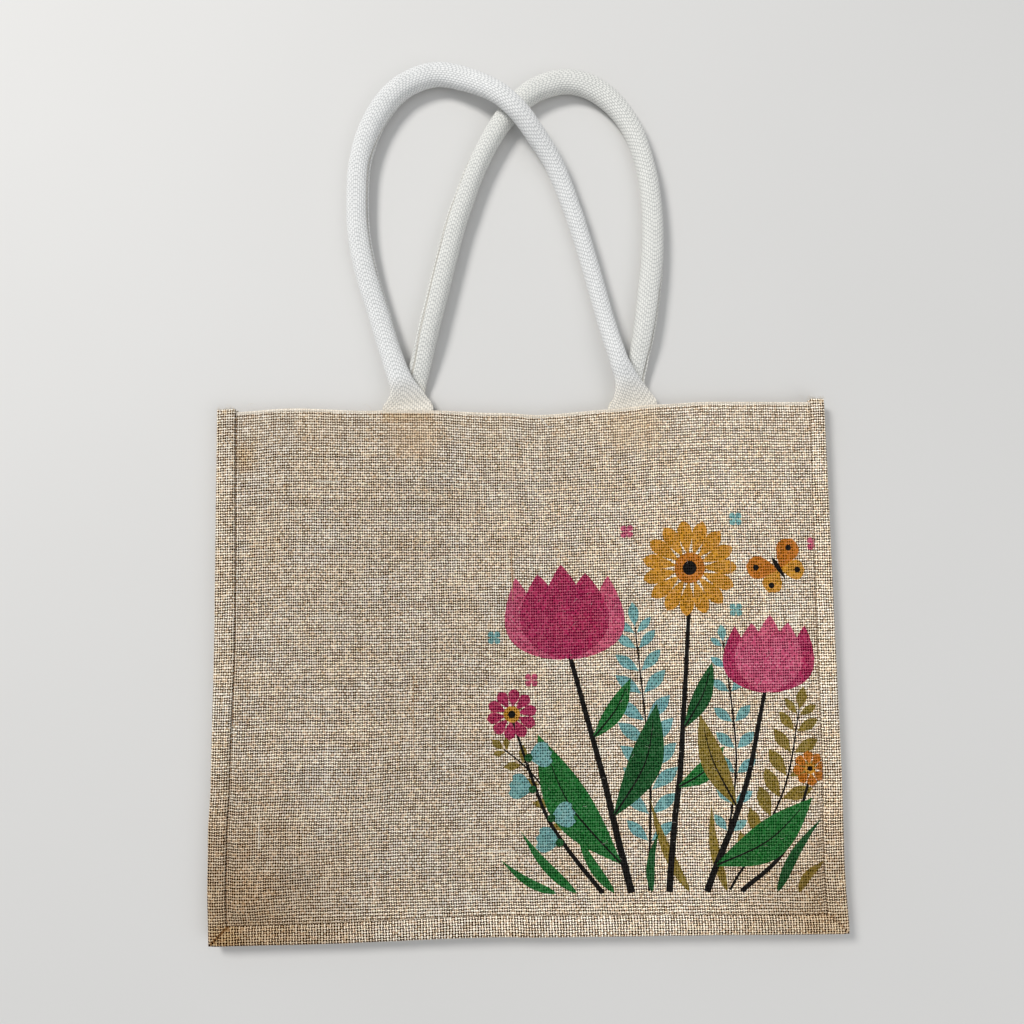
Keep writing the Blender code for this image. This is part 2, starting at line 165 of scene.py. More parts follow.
def from_line(points, x, y):
    """Distance from a line of straight pieces."""
    nearest = math.inf
    for (ax, ay), (bx, by) in zip(points, points[1:]):
        run_x, run_y = bx - ax, by - ay
        share = ((x - ax) * run_x + (y - ay) * run_y) / (run_x ** 2 + run_y ** 2)
        share = min(max(share, 0.0), 1.0)
        nearest = min(nearest, math.hypot(x - ax - share * run_x, y - ay - share * run_y))
    return nearest


def neighbours(line, index, reach=1):
    """The points before and after one on a line."""
    return line[max(index - reach, 0)], line[min(index + reach, len(line) - 1)]


def curve_through(points, step=2.0, fewest=2):
    """Points of a smooth curve through a few given ones."""
    padded = [points[0], *points, points[-1]]
    result = []
    for before, start, end, after in zip(padded, padded[1:], padded[2:], padded[3:]):
        count = max(fewest, round(math.dist(start[:2], end[:2]) / step))
        for index in range(count):
            t = index / count
            result.append(tuple(
                0.5 * (2 * b + (c - a) * t + (2 * a - 5 * b + 4 * c - d) * t ** 2
                       + (3 * b - a - 3 * c + d) * t ** 3)
                for a, b, c, d in zip(before, start, end, after)))
    return result + [tuple(points[-1])]


def steps(start, stop, pitch):
    """Evenly spaced places from start to stop, about a pitch apart."""
    count = max(1, round(abs(stop - start) / pitch))
    return [start + (stop - start) * index / count for index in range(count + 1)]


def to_scene(x, y, z):
    """Bag millimetres to metres in the frame."""
    return ((x - BOX_MIDDLE_X) * MM, (y - BOX_MIDDLE_Y) * MM, z * MM)


# The lying bag's surfaces, as in the frame. side is the distance in from the nearer side edge.

def in_base_strip(y):
    return fall(y, BASE_BINDING + GAP, BINDING_SLOPE)


def in_binding(side, y):
    """1 under the edge binding, 0 a little way inside it."""
    return max(fall(side, SIDE_BINDING + GAP, BINDING_SLOPE), in_base_strip(y))


def over_side_fold(side, y):
    """1 over the folded side gusset, 0 past its inner crease."""
    return fall((side - y) / ROOT_TWO, PITCH, FOLD_SLOPE) * fall(side, FOLD + PITCH, FOLD_SLOPE)


def over_tuck(side, y):
    """1 over the tucked corner triangle, 0 past its slopes."""
    return over_side_fold(side, y) * fall(y, FOLD + PITCH, TUCK_RISE)


def at_hem(y):
    return rise(y, HEM_RISE_FROM, HEM_RISE)


def at_tabs(x, y):
    """1 where the handle tabs lie behind the top hem."""
    aside = abs(abs(x) - TAB_CENTRE)
    return fall(aside, TAB_WIDTH / 2 + PITCH, TAB_SLOPE) * rise(y, TAB_RISE_FROM, TAB_RISE)


def front_panel_height(x, y):
    """Lower face of the front panel above the surface the bag lies on."""
    side = HALF_WIDTH - abs(x)
    creases = sum(height * fall(from_line(line, x, y), 0.0, 2 * half_width)
                  for line, half_width, height in CREASES)
    height = mix(FRONT_MIDDLE + creases, FRONT_OVER_SIDE_FOLD, over_side_fold(side, y))
    height = mix(height, FRONT_OVER_TUCK, over_tuck(side, y))
    height = max(height, mix(height, FRONT_AT_HEM, at_hem(y)))
    height = max(height, mix(height, FRONT_AT_TABS, at_tabs(x, y)))
    return mix(height, FRONT_IN_BINDING, in_binding(side, y))


def laid_place(x, y):
    """Where a point of the true rectangle lies once the bag is laid down."""
    up = min(max(y / PANEL_TOP, 0.0), 1.0)
    right = min(max(x / BAG_WIDTH + 0.5, 0.0), 1.0)
    shift_x = mix(along_table(LEFT_EDGE, y), along_table(RIGHT_EDGE, y), right)
    shift_y = along_table(TOP_EDGE, x) * up ** EDGE_FADE
    shift_y += along_table(BOTTOM_EDGE, x) * (1.0 - up) ** EDGE_FADE
    return x + shift_x, y + shift_y


def laid(x, y, z):
    """A point of the true rectangle, laid down and in metres."""
    return to_scene(*laid_place(x, y), z)


# Fine forms that the frame leaves out. LUMPS has a size and a height.
LUMPS = ((34.0, 0.16), (11.0, 0.07))
LUMP_SEED = 1.3
FOLD_RIDGE = 0.62
FOLD_RIDGE_WIDTH = 6.0
FOLD_RIDGE_SIDE = FOLD - 2.0
FOLD_RIDGE_RANGE = (95.0, 210.0)
RIDGE_END = 20.0
RIDGE_TOP_FADE = 90.0
CORNER_RIDGE_FROM = BASE_BINDING + 4.0
CORNER_RIDGE_RISE = 14.0
RIGHT_RIDGE_SHARE = 0.45


def pressed_folds(x, y):
    """Low ridges where the folded gussets' edges press through the front panel."""
    side = HALF_WIDTH - abs(x)
    upright = bell((side - FOLD_RIDGE_SIDE) / FOLD_RIDGE_WIDTH)
    upright *= rise(y, FOLD_RIDGE_RANGE[0], RIDGE_END) * fall(y, FOLD_RIDGE_RANGE[1], RIDGE_TOP_FADE)
    slanting = bell((side - y) / ROOT_TWO / FOLD_RIDGE_WIDTH)
    slanting *= rise(FOLD - y, 0.0, RIDGE_END) * rise(y, CORNER_RIDGE_FROM, CORNER_RIDGE_RISE)
    return FOLD_RIDGE * (1.0 if x < 0 else RIGHT_RIDGE_SHARE) * max(upright, slanting)


def front_middle(x, y):
    """Height of the middle of the front panel's cloth."""
    fine = sum(height * (1.0 + unevenness(x, y, size, LUMP_SEED)) for size, height in LUMPS)
    fine += pressed_folds(x, y)
    fine += sum(height * bell(from_line(line, x, y) / half_width) for line, half_width, height in WRINKLES)
    open_cloth = 1.0 - in_binding(HALF_WIDTH - abs(x), y)
    return front_panel_height(x, y) + CLOTH / 2 + fine * open_cloth


def front_top(x, y):
    return front_middle(x, y) + CLOTH / 2


def back_middle(x, y):
    """Height of the middle of the back panel's cloth."""
    return PITCH * in_binding(HALF_WIDTH - abs(x), y) + CLOTH / 2


def panel_place(u, v, middle, turn):
    """A point of the cut panel, with its top turned over as a hem. turn is -1 down or 1 up."""
    if v <= HEM_TOP:
        return laid(u, v, middle(u, v))
    if v < HEM_TOP + HEM_TURN:
        angle = (v - HEM_TOP) / HEM_RADIUS
        y = HEM_TOP + HEM_RADIUS * math.sin(angle)
        return laid(u, y, middle(u, HEM_TOP) + turn * HEM_RADIUS * (1.0 - math.cos(angle)))
    y = 2 * HEM_TOP + HEM_TURN - v
    return laid(u, y, middle(u, y) + turn * 2 * HEM_RADIUS)


# Node graphs

class Signal:
    """The output of a node, used in a formula as a number or a colour is."""

    def __init__(self, graph, socket):
        self.graph = graph
        self.socket = socket

    def apply(self, operation, *others):
        return self.graph.add("ShaderNodeMath", (self, *others), operation=operation)

    def __add__(self, other):
        return self.apply("ADD", other)

    def __sub__(self, other):
        return self.apply("SUBTRACT", other)

    def __rsub__(self, other):
        return self.graph.add("ShaderNodeMath", (other, self), operation="SUBTRACT")

    def __mul__(self, other):
        return self.apply("MULTIPLY", other)

    def __truediv__(self, other):
        return self.apply("DIVIDE", other)

    def __abs__(self):
        return self.apply("ABSOLUTE")

    __radd__ = __add__
    __rmul__ = __mul__

    def floor(self):
        return self.apply("FLOOR")

    def at_least(self, lowest):
        return self.apply("MAXIMUM", lowest)

    def rounded(self):
        """Height of a round profile: 1 in the middle, 0 from -1 down and from 1 up."""
        return (1.0 - self * self).at_least(0.0).apply("SQRT")

    def wave(self):
        """1 in the middle of a yarn's or a pick's half wave, 0 at its ends."""
        return (self * math.pi).apply("COSINE")

    def between(self, low, high):
        """0 at low, 1 at high, with a smooth slope."""
        return self.graph.add("ShaderNodeMapRange", (self, low, high, 0.0, 1.0),
                              interpolation_type="SMOOTHSTEP")

    def blend(self, first, second):
        """The first number where this is 0, the second where it is 1."""
        return self.graph.add("ShaderNodeMix", (self, None, first, second), data_type="FLOAT")

    def shaded(self, tint, share=1.0):
        """This colour times another one, as far as the share goes."""
        return self.graph.tint(share, self, tint, "MULTIPLY")


class Graph:
    """Adds nodes to a tree."""

    def __init__(self, tree):
        self.tree = tree

    def feed(self, node, inputs):
        """Link or set a node's inputs, which are given by name or number."""
        for key, value in inputs.items():
            if isinstance(value, Signal):
                self.tree.links.new(value.socket, node.inputs[key])
            else:
                node.inputs[key].default_value = value

    def node(self, kind, inputs=None, **settings):
        made = self.tree.nodes.new(kind)
        for name, value in settings.items():
            setattr(made, name, value)
        self.feed(made, inputs or {})
        return made

    def add(self, kind, inputs=(), output=0, **settings):
        """A new node's output. Its inputs are in order, and None leaves one as it is."""
        given = {place: value for place, value in enumerate(inputs) if value is not None}
        return Signal(self, self.node(kind, given, **settings).outputs[output])

    def group(self, name, **inputs):
        """The outputs of a node group, by name."""
        made = self.node("ShaderNodeGroup", inputs, node_tree=bpy.data.node_groups[name])
        return {socket.name: Signal(self, socket) for socket in made.outputs}

    def frame_place(self):
        """Where a point lies, in metres in the frame."""
        return self.add("ShaderNodeTexCoord", output=3)

    def bag_place(self):
        """Where a point lies, in bag millimetres."""
        x, y, _ = self.parts(self.frame_place())
        return x / MM + BOX_MIDDLE_X, y / MM + BOX_MIDDLE_Y

    def cloth_place(self):
        """Where a point lies in its own flat cloth, in millimetres."""
        return self.add("ShaderNodeAttribute", output=1, attribute_name="cloth")

    def parts(self, place):
        made = self.node("ShaderNodeSeparateXYZ", {0: place})
        return [Signal(self, socket) for socket in made.outputs]

    def combine(self, x, y, z):
        return self.add("ShaderNodeCombineXYZ", (x, y, z))

    def vector(self, operation, place, other, output=0):
        return self.add("ShaderNodeVectorMath", (place, other), output, operation=operation)

    def noise(self, place, scale, detail=2.0):
        return self.add("ShaderNodeTexNoise", (place, None, scale, detail), noise_dimensions="3D")

    def chance(self, number):
        """The same random number for the same whole number."""
        return self.add("ShaderNodeTexWhiteNoise", (None, number), noise_dimensions="1D")

    def colours(self, share, stops):
        made = self.node("ShaderNodeValToRGB", {0: share})
        ramp = made.color_ramp
        while len(ramp.elements) < len(stops):
            ramp.elements.new(0.5)
        for element, (place, colour) in zip(ramp.elements, stops):
            element.position = place
            element.color = (*colour, 1.0)
        return Signal(self, made.outputs[0])

    def tint(self, share, first, second, blend_type="MIX"):
        """Mix of two colours."""
        pair = [(*value, 1.0) if isinstance(value, tuple) else value for value in (first, second)]
        return self.add("ShaderNodeMix", (share, *[None] * 5, *pair), output=2,
                        data_type="RGBA", blend_type=blend_type)

    def bump(self, height, distance):
        made = self.node("ShaderNodeBump", {"Strength": 1.0, "Distance": distance, "Height": height})
        return Signal(self, made.outputs[0])


def new_group(name, sockets):
    """The graph of a new node group. sockets has a label, a direction and a kind for each."""
    tree = bpy.data.node_groups.new(name, "ShaderNodeTree")
    for label, direction, kind in sockets:
        tree.interface.new_socket(label, in_out=direction, socket_type="NodeSocket" + kind)
    return Graph(tree)


def new_material(name, paint):
    """A material whose Principled shader takes what paint makes of its graph."""
    made = bpy.data.materials.new(name)
    made.use_nodes = True
    graph = Graph(made.node_tree)
    graph.feed(made.node_tree.nodes["Principled BSDF"], paint(graph))
    return made


# Yarns: their pitch in millimetres, half width as a share of the pitch, and height in the weave
WARP_PITCH = 1.64
WEFT_PITCH = 1.95
WARP_HALF = 0.25
WEFT_HALF = 0.275
THINNEST = 0.2
WARP_LEVEL, WARP_WAVE = 0.63, 0.35
WEFT_LEVEL, WEFT_WAVE = 0.64, 0.36

# How uneven they are: how far they drift, and how much their width changes
SMALL_DRIFT = 0.45
SMALL_DRIFT_SCALE = 0.11
WIDE_DRIFT = 1.0
WIDE_DRIFT_SCALE = 0.010
YARN_RANDOM = 0.09
YARN_SWELL = 0.16
YARN_WAVE = 0.27
PATCH_SWELL = 0.09
PATCH_SCALE = 0.055

# Painted light and shade on the weave, with the yarns' own tone: holes in painted shade, crowns in painted
# light and dips in painted shade, single yarns and crossings, thick places, wefts in painted light and warps
# in painted shade, fibres
HOLE_EDGE = 0.78
HOLE_FUZZ = 0.46
HOLE_FILLING = 0.22
CROWN_LOW, CROWN_GAIN = 0.64, 0.36
OWN_LOW, OWN_GAIN = 0.91, 0.13
CROSSING_LOW, CROSSING_GAIN = 0.835, 0.33
SWELL_GLOW = 0.7
WARP_SWELL_SHARE = 0.7
# Painted light on the wefts and painted shade on the warps
WEFT_PAINTED_LIGHT, WARP_PAINTED_LIGHT = 1.06, 0.93
FIBRE_SCALE = 1.6
FIBRE_LOW, FIBRE_GAIN = 0.80, 0.38


def yarn(graph, across, along, number, half, patch, seed):
    """One yarn's rounded profile across its own width, and how thick it is at that place."""
    swell = graph.noise(graph.combine(number * 3.7, along * YARN_WAVE, seed), 1.0, 1.0) - 0.5
    fixed = graph.chance(number + seed * 100) - 0.5
    width = swell * YARN_SWELL + fixed * YARN_RANDOM + patch * PATCH_SWELL + half
    return (across / width.at_least(THINNEST)).rounded(), swell


def drift(graph, u, v, seed):
    """How far the yarns stray from their even places, in yarns."""
    place = graph.combine(u, v, seed)
    small = graph.noise(place, SMALL_DRIFT_SCALE, 1.0) - 0.5
    wide = graph.noise(place, WIDE_DRIFT_SCALE, 1.0) - 0.5
    return small * SMALL_DRIFT + wide * WIDE_DRIFT


def weave_group():
    """A plain weave of uneven yarns: its relief, how light each place is in painted light and shade with the
    yarns' own random tone, and its yarn's number.
    """
    graph = new_group("jute_weave", (("Place", "INPUT", "Vector"), ("Height", "OUTPUT", "Float"),
                                     ("Shade", "OUTPUT", "Float"), ("Yarn", "OUTPUT", "Float")))
    u, v, seed = graph.parts(graph.add("NodeGroupInput"))
    across = u / WARP_PITCH + drift(graph, u, v, seed)
    up = v / WEFT_PITCH + drift(graph, v, u, seed + 7.0)
    column, row = across.floor(), up.floor()
    aside, above = across - column - 0.5, up - row - 0.5
    sign = 1.0 - (column + row).apply("FLOORED_MODULO", 2.0) * 2.0

    patch = graph.noise(graph.combine(v, seed, u), PATCH_SCALE) - 0.5
    warp, warp_swell = yarn(graph, aside, up, column, WARP_HALF, patch, 1.0)
    weft, weft_swell = yarn(graph, above, across, row, WEFT_HALF, patch, 2.0)
    warp_top = warp * (WARP_LEVEL + sign * above.wave() * WARP_WAVE)
    weft_top = weft * (WEFT_LEVEL - sign * aside.wave() * WEFT_WAVE)
    height = warp_top.at_least(weft_top)
    is_warp = warp_top.apply("GREATER_THAN", weft_top)
    number = is_warp.blend(graph.chance(row + 300.0), graph.chance(column))

    hole = graph.chance((across + 0.5).floor() * 71.0 + (up + 0.5).floor() * 113.0)
    filled = hole.between(0.50, 1.02)
    # Painted shade: holes as dark as the bag's shaded inside, and the yarns' edges beside them
    light = height.between(0.04, HOLE_EDGE - filled * HOLE_FILLING)
    # Painted light on the crowns, painted shade where the yarns dive under
    light *= CROWN_LOW + height.between(0.40, 0.95) * CROWN_GAIN
    light *= OWN_LOW + number * OWN_GAIN
    light *= CROSSING_LOW + graph.chance(column * 57.0 + row * 131.0) * CROSSING_GAIN
    light *= 1.0 + is_warp.blend(weft_swell, warp_swell * WARP_SWELL_SHARE) * SWELL_GLOW
    # Painted light on the wefts, painted shade on the warps
    light *= is_warp.blend(WEFT_PAINTED_LIGHT, WARP_PAINTED_LIGHT)
    light = light.at_least(filled * HOLE_FUZZ)
    fibres = graph.noise(graph.combine(u * FIBRE_SCALE, v * FIBRE_SCALE, seed), 1.0, 3.0)
    light *= FIBRE_LOW + fibres * FIBRE_GAIN
    graph.node("NodeGroupOutput", {"Height": height, "Shade": light, "Yarn": number})


PLAIN = (1.0, 1.0, 1.0)

# Painted shade of the bag's lower corners, in metres: corner, how far it reaches, its colour
PAINTED_CORNER_SHADES = (
    (-0.235, -0.335, 0.165, (0.66, 0.55, 0.43)),
    (0.240, -0.335, 0.150, (0.72, 0.64, 0.54)),
)
PAINTED_CORNER_CORE = 0.04
# Painted light: its level at the left, how much paler it grows to the right, and over which stretch, in
# metres
PAINTED_LIGHT_LEFT = 0.985
PAINTED_LIGHT_RIGHT_GAIN = 0.22
PAINTED_LIGHT_RANGE = (-0.10, 0.15)
# Random clouds of the cloth's own tone
CLOUD_SCALE = 11.0
CLOUD_LOW, CLOUD_GAIN = 0.93, 0.14


def painted_light_and_tone_group():
    """Painted light and shade over the cloth, with random clouds of its own tone: paler to the right in
    painted light, browner in painted shade in the lower corners.
    """
    graph = new_group("bag_painted_light_and_tone", (("Painted_light_and_tone", "OUTPUT", "Color"),))
    place = graph.frame_place()
    # Painted light, paler to the right
    light = PAINTED_LIGHT_LEFT + graph.parts(place)[0].between(*PAINTED_LIGHT_RANGE) * PAINTED_LIGHT_RIGHT_GAIN
    light *= CLOUD_LOW + graph.noise(place, CLOUD_SCALE) * CLOUD_GAIN
    tone = graph.combine(light, light, light)
    # Painted shade, browner and darker towards the lower corners
    for x, y, reach, shade in PAINTED_CORNER_SHADES:
        away = graph.vector("DISTANCE", place, (x, y, 0.0), output=1)
        tone = tone.shaded(graph.tint(away.between(PAINTED_CORNER_CORE, reach), shade, PLAIN))
    graph.node("NodeGroupOutput", {"Painted_light_and_tone": tone})


# Bare jute from its holes, in painted shade, to its crowns, in painted light, and the tints that vary over
# it
BARE_STOPS = (
    (0.00, (0.012, 0.005, 0.001)),
    (0.32, (0.078, 0.034, 0.007)),
    (0.52, (0.400, 0.278, 0.160)),
    (0.70, (0.900, 0.760, 0.590)),
    (0.92, (1.000, 0.980, 0.890)),
)
WARM, COOL = (1.0, 0.958, 0.90), (0.985, 0.985, 0.985)
PINKISH, YELLOWISH = (1.0, 0.972, 0.958), (0.99, 0.985, 0.95)
BROWN_YARN = (0.86, 0.70, 0.52)
BROWN_YARN_SHARE = 0.35
JUTE_RELIEF = 0.0002

# Places of the front in bag millimetres where what lies behind shows through, or the cloth is
# warmer: middle, half sizes, soft rim, tint, and how far the layers behind fill the holes
STAINS = (
    (0.0, 357.0, 206.0, 12.5, 1.5, PLAIN, 0.07),
    (-82.0, 366.0, 18.0, 4.5, 3.5, (0.88, 0.79, 0.66), 0.10),
    (-79.0, 347.0, 17.0, 13.0, 7.0, (0.99, 0.925, 0.85), 0.13),
    (82.0, 351.0, 18.0, 16.0, 7.0, (0.99, 0.945, 0.88), 0.11),
    (-200.5, 336.0, 5.0, 9.0, 5.0, (0.96, 0.85, 0.70), 0.0),
    (-209.0, 6.0, 9.0, 6.0, 4.0, (0.95, 0.90, 0.76), 0.0),
)
BEHIND = (0.60, 0.47, 0.34)
HEM_RIM = (0.86, 0.79, 0.68)
HEM_RIM_SHARE = 0.62
# Painted shade of the mitre folds, and the share of it at the right
MITRE_SHADE = (0.40, 0.27, 0.14)
RIGHT_MITRE_SHARE = 0.55


def stained(graph, cloth, colour):
    """The front's paler holes over the hem and tabs, and its warmer places."""
    x, y = graph.bag_place()
    for middle_x, middle_y, half_x, half_y, rim, tint, filled in STAINS:
        across = 1.0 - abs(x - middle_x).between(half_x - rim, half_x + rim)
        up = 1.0 - abs(y - middle_y).between(half_y - rim, half_y + rim)
        changed = graph.tint(filled, colour, BEHIND).shaded(tint)
        colour = graph.tint(across * up, colour, changed)
    return colour


def rimmed(graph, cloth, colour):
    """The smooth, pale fold at the mouth's edge."""
    rim = graph.parts(cloth)[1].between(HEM_TOP - 1.5, HEM_TOP - 0.3)
    return graph.tint(rim * HEM_RIM_SHARE, colour, HEM_RIM)


def mitred(graph, cloth, colour):
    """Painted shade along the fold lines of a strip's mitred corners, fainter at the right."""
    x, y = graph.bag_place()
    near = 1.0 - abs(HALF_WIDTH - abs(x) - y).between(0.5, 2.0)
    inside = 1.0 - y.between(13.0, 14.5)
    strength = x.apply("LESS_THAN", 0.0).blend(RIGHT_MITRE_SHARE, 1.0)
    return colour.shaded(MITRE_SHADE, near * inside * strength)


def jute_material(name, stops=BARE_STOPS, seed=0.0, tint=PLAIN, marks=()):
    """Jute cloth on the piece's own cloth coordinates, bare or inked."""
    def paint(graph):
        cloth = graph.cloth_place()
        seeded = graph.vector("ADD", cloth, (0.0, 0.0, seed))
        weave = graph.group("jute_weave", Place=seeded)
        cloudy = graph.noise(seeded, 0.03, 4.0).between(0.36, 0.64)
        speckle = graph.noise(seeded, 0.22).between(0.40, 0.66)
        single = weave["Yarn"].between(0.90, 0.99) * BROWN_YARN_SHARE
        colour = graph.colours(weave["Shade"], stops)
        colour = colour.shaded(graph.tint(cloudy, WARM, COOL))
        colour = colour.shaded(graph.tint(speckle, PINKISH, YELLOWISH))
        colour = colour.shaded(BROWN_YARN, single).shaded(tint)
        # Painted light and shade over the whole bag, with its random clouds of tone
        colour = colour.shaded(graph.group("bag_painted_light_and_tone")["Painted_light_and_tone"])
        for mark in marks:
            colour = mark(graph, cloth, colour)
        return {"Base Color": colour, "Roughness": 0.88, "Sheen Weight": weave["Shade"] * 0.12,
                "Sheen Roughness": 0.5, "Specular IOR Level": weave["Shade"] * 0.25,
                "Normal": graph.bump(weave["Height"], JUTE_RELIEF)}
    return new_material(name, paint)


# Inks: name, colour, how far its crowns go to white in painted light
INKS = {
    "magenta": ((0.39, 0.012, 0.085), 0.10),
    "pink": ((0.53, 0.060, 0.150), 0.16),
    "green": ((0.006, 0.146, 0.021), 0.06),
    "dark_green": ((0.005, 0.088, 0.018), 0.04),
    "olive": ((0.230, 0.165, 0.018), 0.08),
    "teal": ((0.145, 0.370, 0.385), 0.14),
    "yellow": ((0.550, 0.250, 0.010), 0.10),
    "orange": ((0.480, 0.155, 0.005), 0.06),
    "black": ((0.008, 0.007, 0.006), 0.0),
}


def ink_stops(colour, light):
    """Stops for inked yarns: painted shade in the gaps, the ink's own colour, and its crowns paler in
    painted light.
    """
    dark, half = (tuple(share * part for part in colour) for share in (0.10, 0.45))
    crown = tuple(mix(part, 1.0, light) for part in colour)
    return ((0.0, dark), (0.25, half), (0.62, colour), (1.0, crown))


# Webbing: ribs and picks in millimetres, their colours from painted shade in the gaps to the picks' tops,
# where the tabs are warmer, in metres, and the painted shade in the seam's groove
RIB_PITCH = 1.55
PICK_PITCH = 3.1
TWILL_SHIFT = 0.40
WEBBING_RELIEF = 0.00035
WEBBING_STOPS = (
    (0.0, (0.43, 0.434, 0.43)),
    (0.28, (0.62, 0.628, 0.624)),
    (0.58, (0.79, 0.794, 0.786)),
    (1.0, (0.89, 0.89, 0.877)),
)
TAB_WARMTH = (1.10, 1.04, 0.94)
TAB_WARMTH_RANGE = (0.056, 0.078)
SEAM_GROOVE_SHADE = (0.40, 0.36, 0.29)
SEAM_GROOVE_SHADE_SHARE = 0.75


def webbing_material(name, tint=PLAIN):
    """Cotton webbing: short raised picks in offset rows, on the handle's own coordinates."""
    def paint(graph):
        cloth = graph.cloth_place()
        aside, along, groove = graph.parts(cloth)
        rough = graph.noise(cloth, 0.30) - 0.5
        rib = (aside + rough * 0.8) / RIB_PITCH
        column = rib.floor()
        pick = along / PICK_PITCH + abs(column + 0.5) * TWILL_SHIFT + rough * 0.5
        across = ((rib - column - 0.5) * 2.0).rounded()
        up = (pick.apply("FRACT") - 0.5).wave().at_least(0.0)
        height = across * up.apply("POWER", 0.6)
        own = graph.chance(column * 57.0 + pick.floor())
        light = height * (0.82 + own * 0.26) * (0.85 + graph.noise(cloth, 2.6) * 0.3)
        low = 1.0 - graph.parts(graph.frame_place())[1].between(*TAB_WARMTH_RANGE)
        # From painted shade between the picks to their tops
        colour = graph.colours(light, WEBBING_STOPS).shaded(tint).shaded(TAB_WARMTH, low)
        # Painted shade in the seam's groove, darker and browner where the groove is deeper
        colour = graph.tint(groove * SEAM_GROOVE_SHADE_SHARE, colour, SEAM_GROOVE_SHADE)
        return {"Base Color": colour, "Roughness": 0.78, "Sheen Weight": 0.25,
                "Sheen Roughness": 0.4, "Specular IOR Level": 0.3,
                "Normal": graph.bump(height, WEBBING_RELIEF)}
    return new_material(name, paint)


def thread_material(name, colour):
    """Twisted sewing thread or loose fibre, with a little mottling along it."""
    def paint(graph):
        mottle = graph.noise(graph.frame_place(), 900.0)
        dark = tuple(0.6 * part for part in colour)
        return {"Base Color": graph.tint(mottle, dark, colour), "Roughness": 0.7, "Specular IOR Level": 0.3}
    return new_material(name, paint)


# Meshes

def add_object(name, data):
    made = bpy.data.objects.new(name, data)
    bpy.context.scene.collection.objects.link(made)
    return made


def new_mesh(name, vertices, faces, cloth=()):
    """A mesh that may keep each point's place in the flat cloth, in millimetres, for the weave."""
    mesh = bpy.data.meshes.new(name)
    mesh.from_pydata(vertices, [], faces)
    if cloth:
        layer = mesh.attributes.new("cloth", "FLOAT_VECTOR", "POINT")
        layer.data.foreach_set("vector", [part for place in cloth for part in place])
    return mesh


def add_piece(name, mesh, materials, slot, node=None):
    """Put a new piece on the root body, with its materials. It may stand for a node."""
    for finish in materials:
        mesh.materials.append(finish)
    mesh.shade_smooth()
    piece = add_object(name, mesh)
    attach(piece, "root")
    if node:
        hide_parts(node)
    return piece


def thicken(piece):
    """Give a cloth's middle surface its thickness. Its inner face takes the last material."""
    solid = piece.modifiers.new("cloth thickness", "SOLIDIFY")
    solid.thickness = CLOTH * MM
    solid.offset = 0.0
    solid.use_even_offset = True
    solid.material_offset = solid.material_offset_rim = len(piece.data.materials) - 1


def tube_faces(first, rings, sides):
    """Faces of a closed tube, ring by ring, from the number of its first corner."""
    faces = []
    for low in range(first, first + (rings - 1) * sides, sides):
        for side in range(sides):
            following = (side + 1) % sides
            faces.append((low + side, low + following, low + sides + following, low + sides + side))
    last = first + (rings - 1) * sides
    faces.append(tuple(range(first + sides - 1, first - 1, -1)))
    faces.append(tuple(range(last, last + sides)))
    return faces


# Panels

PANEL_INSET = 2.0
PANEL_GRID = 2.7
HEM_STEPS = 7
HEM_GRID = 4.0


def panel_rows():
    """Places up the cut panel, close together round the hem's fold."""
    turned_over = HEM_TOP + HEM_TURN
    return (steps(PANEL_INSET, HEM_TOP, PANEL_GRID)
            + steps(HEM_TOP, turned_over, HEM_TURN / HEM_STEPS)[1:]
            + steps(turned_over, CUT_HEIGHT, HEM_GRID)[1:])


def cut_panel(shapes):
    """Triangles of a cut panel with the printed outlines in them: points, triangles, shape of each."""
    half = HALF_WIDTH - PANEL_INSET
    columns = steps(-half, half, PANEL_GRID)
    points = [Vector((u, v)) for v in panel_rows() for u in columns]
    edges = []
    for outline, _ in shapes:
        first, count = len(points), len(outline)
        points.extend(Vector(point) for point in outline)
        edges.extend((first + index, first + (index + 1) % count) for index in range(count))
    flat, _, faces, _, _, _ = delaunay_2d_cdt(points, edges, [], 0, 1e-4)
    flat = [tuple(point) for point in flat]
    faces = [tuple(face) for face in faces]
    corners = np.array(flat)[np.array(faces)]
    return flat, faces, printed_shape(corners.mean(axis=1), shapes)


def printed_shape(centres, shapes):
    """For each centre, the number of the last outline that holds it, or -1."""
    found = np.full(len(centres), -1)
    for number, (outline, _) in enumerate(shapes):
        ring = np.array(outline)
        low, high = ring.min(axis=0), ring.max(axis=0)
        near = np.where(((centres > low) & (centres < high)).all(axis=1))[0]
        px, py = centres[near, 0][:, None], centres[near, 1][:, None]
        ax, ay = ring[:, 0], ring[:, 1]
        bx, by = np.roll(ax, -1), np.roll(ay, -1)
        crosses = (ay > py) != (by > py)
        reach = (bx - ax) * (py - ay) / np.where(by == ay, 1.0, by - ay) + ax
        inside = (crosses & (px < reach)).sum(axis=1) % 2 == 1
        found[near[inside]] = number
    return found


def panel_piece(name, node, slot, shapes, materials, middle, turn):
    """One panel of the bag, printed or bare, with its hem."""
    flat, faces, owner = cut_panel(shapes)
    places = [panel_place(u, v, middle, turn) for u, v in flat]
    if turn > 0:
        faces = [face[::-1] for face in faces]
    mesh = new_mesh(name, places, faces, [(u, v, 0.0) for u, v in flat])
    names = [finish.name for finish in materials]
    for face, number in zip(mesh.polygons, owner):
        if number >= 0:
            face.material_index = names.index("ink_" + shapes[number][1])
    piece = add_piece(name, mesh, materials, slot, node)
    thicken(piece)


# Printed motifs: each is a list of outlines with their inks

def turned(x, y, angle, reach):
    return x + reach * math.cos(angle), y + reach * math.sin(angle)


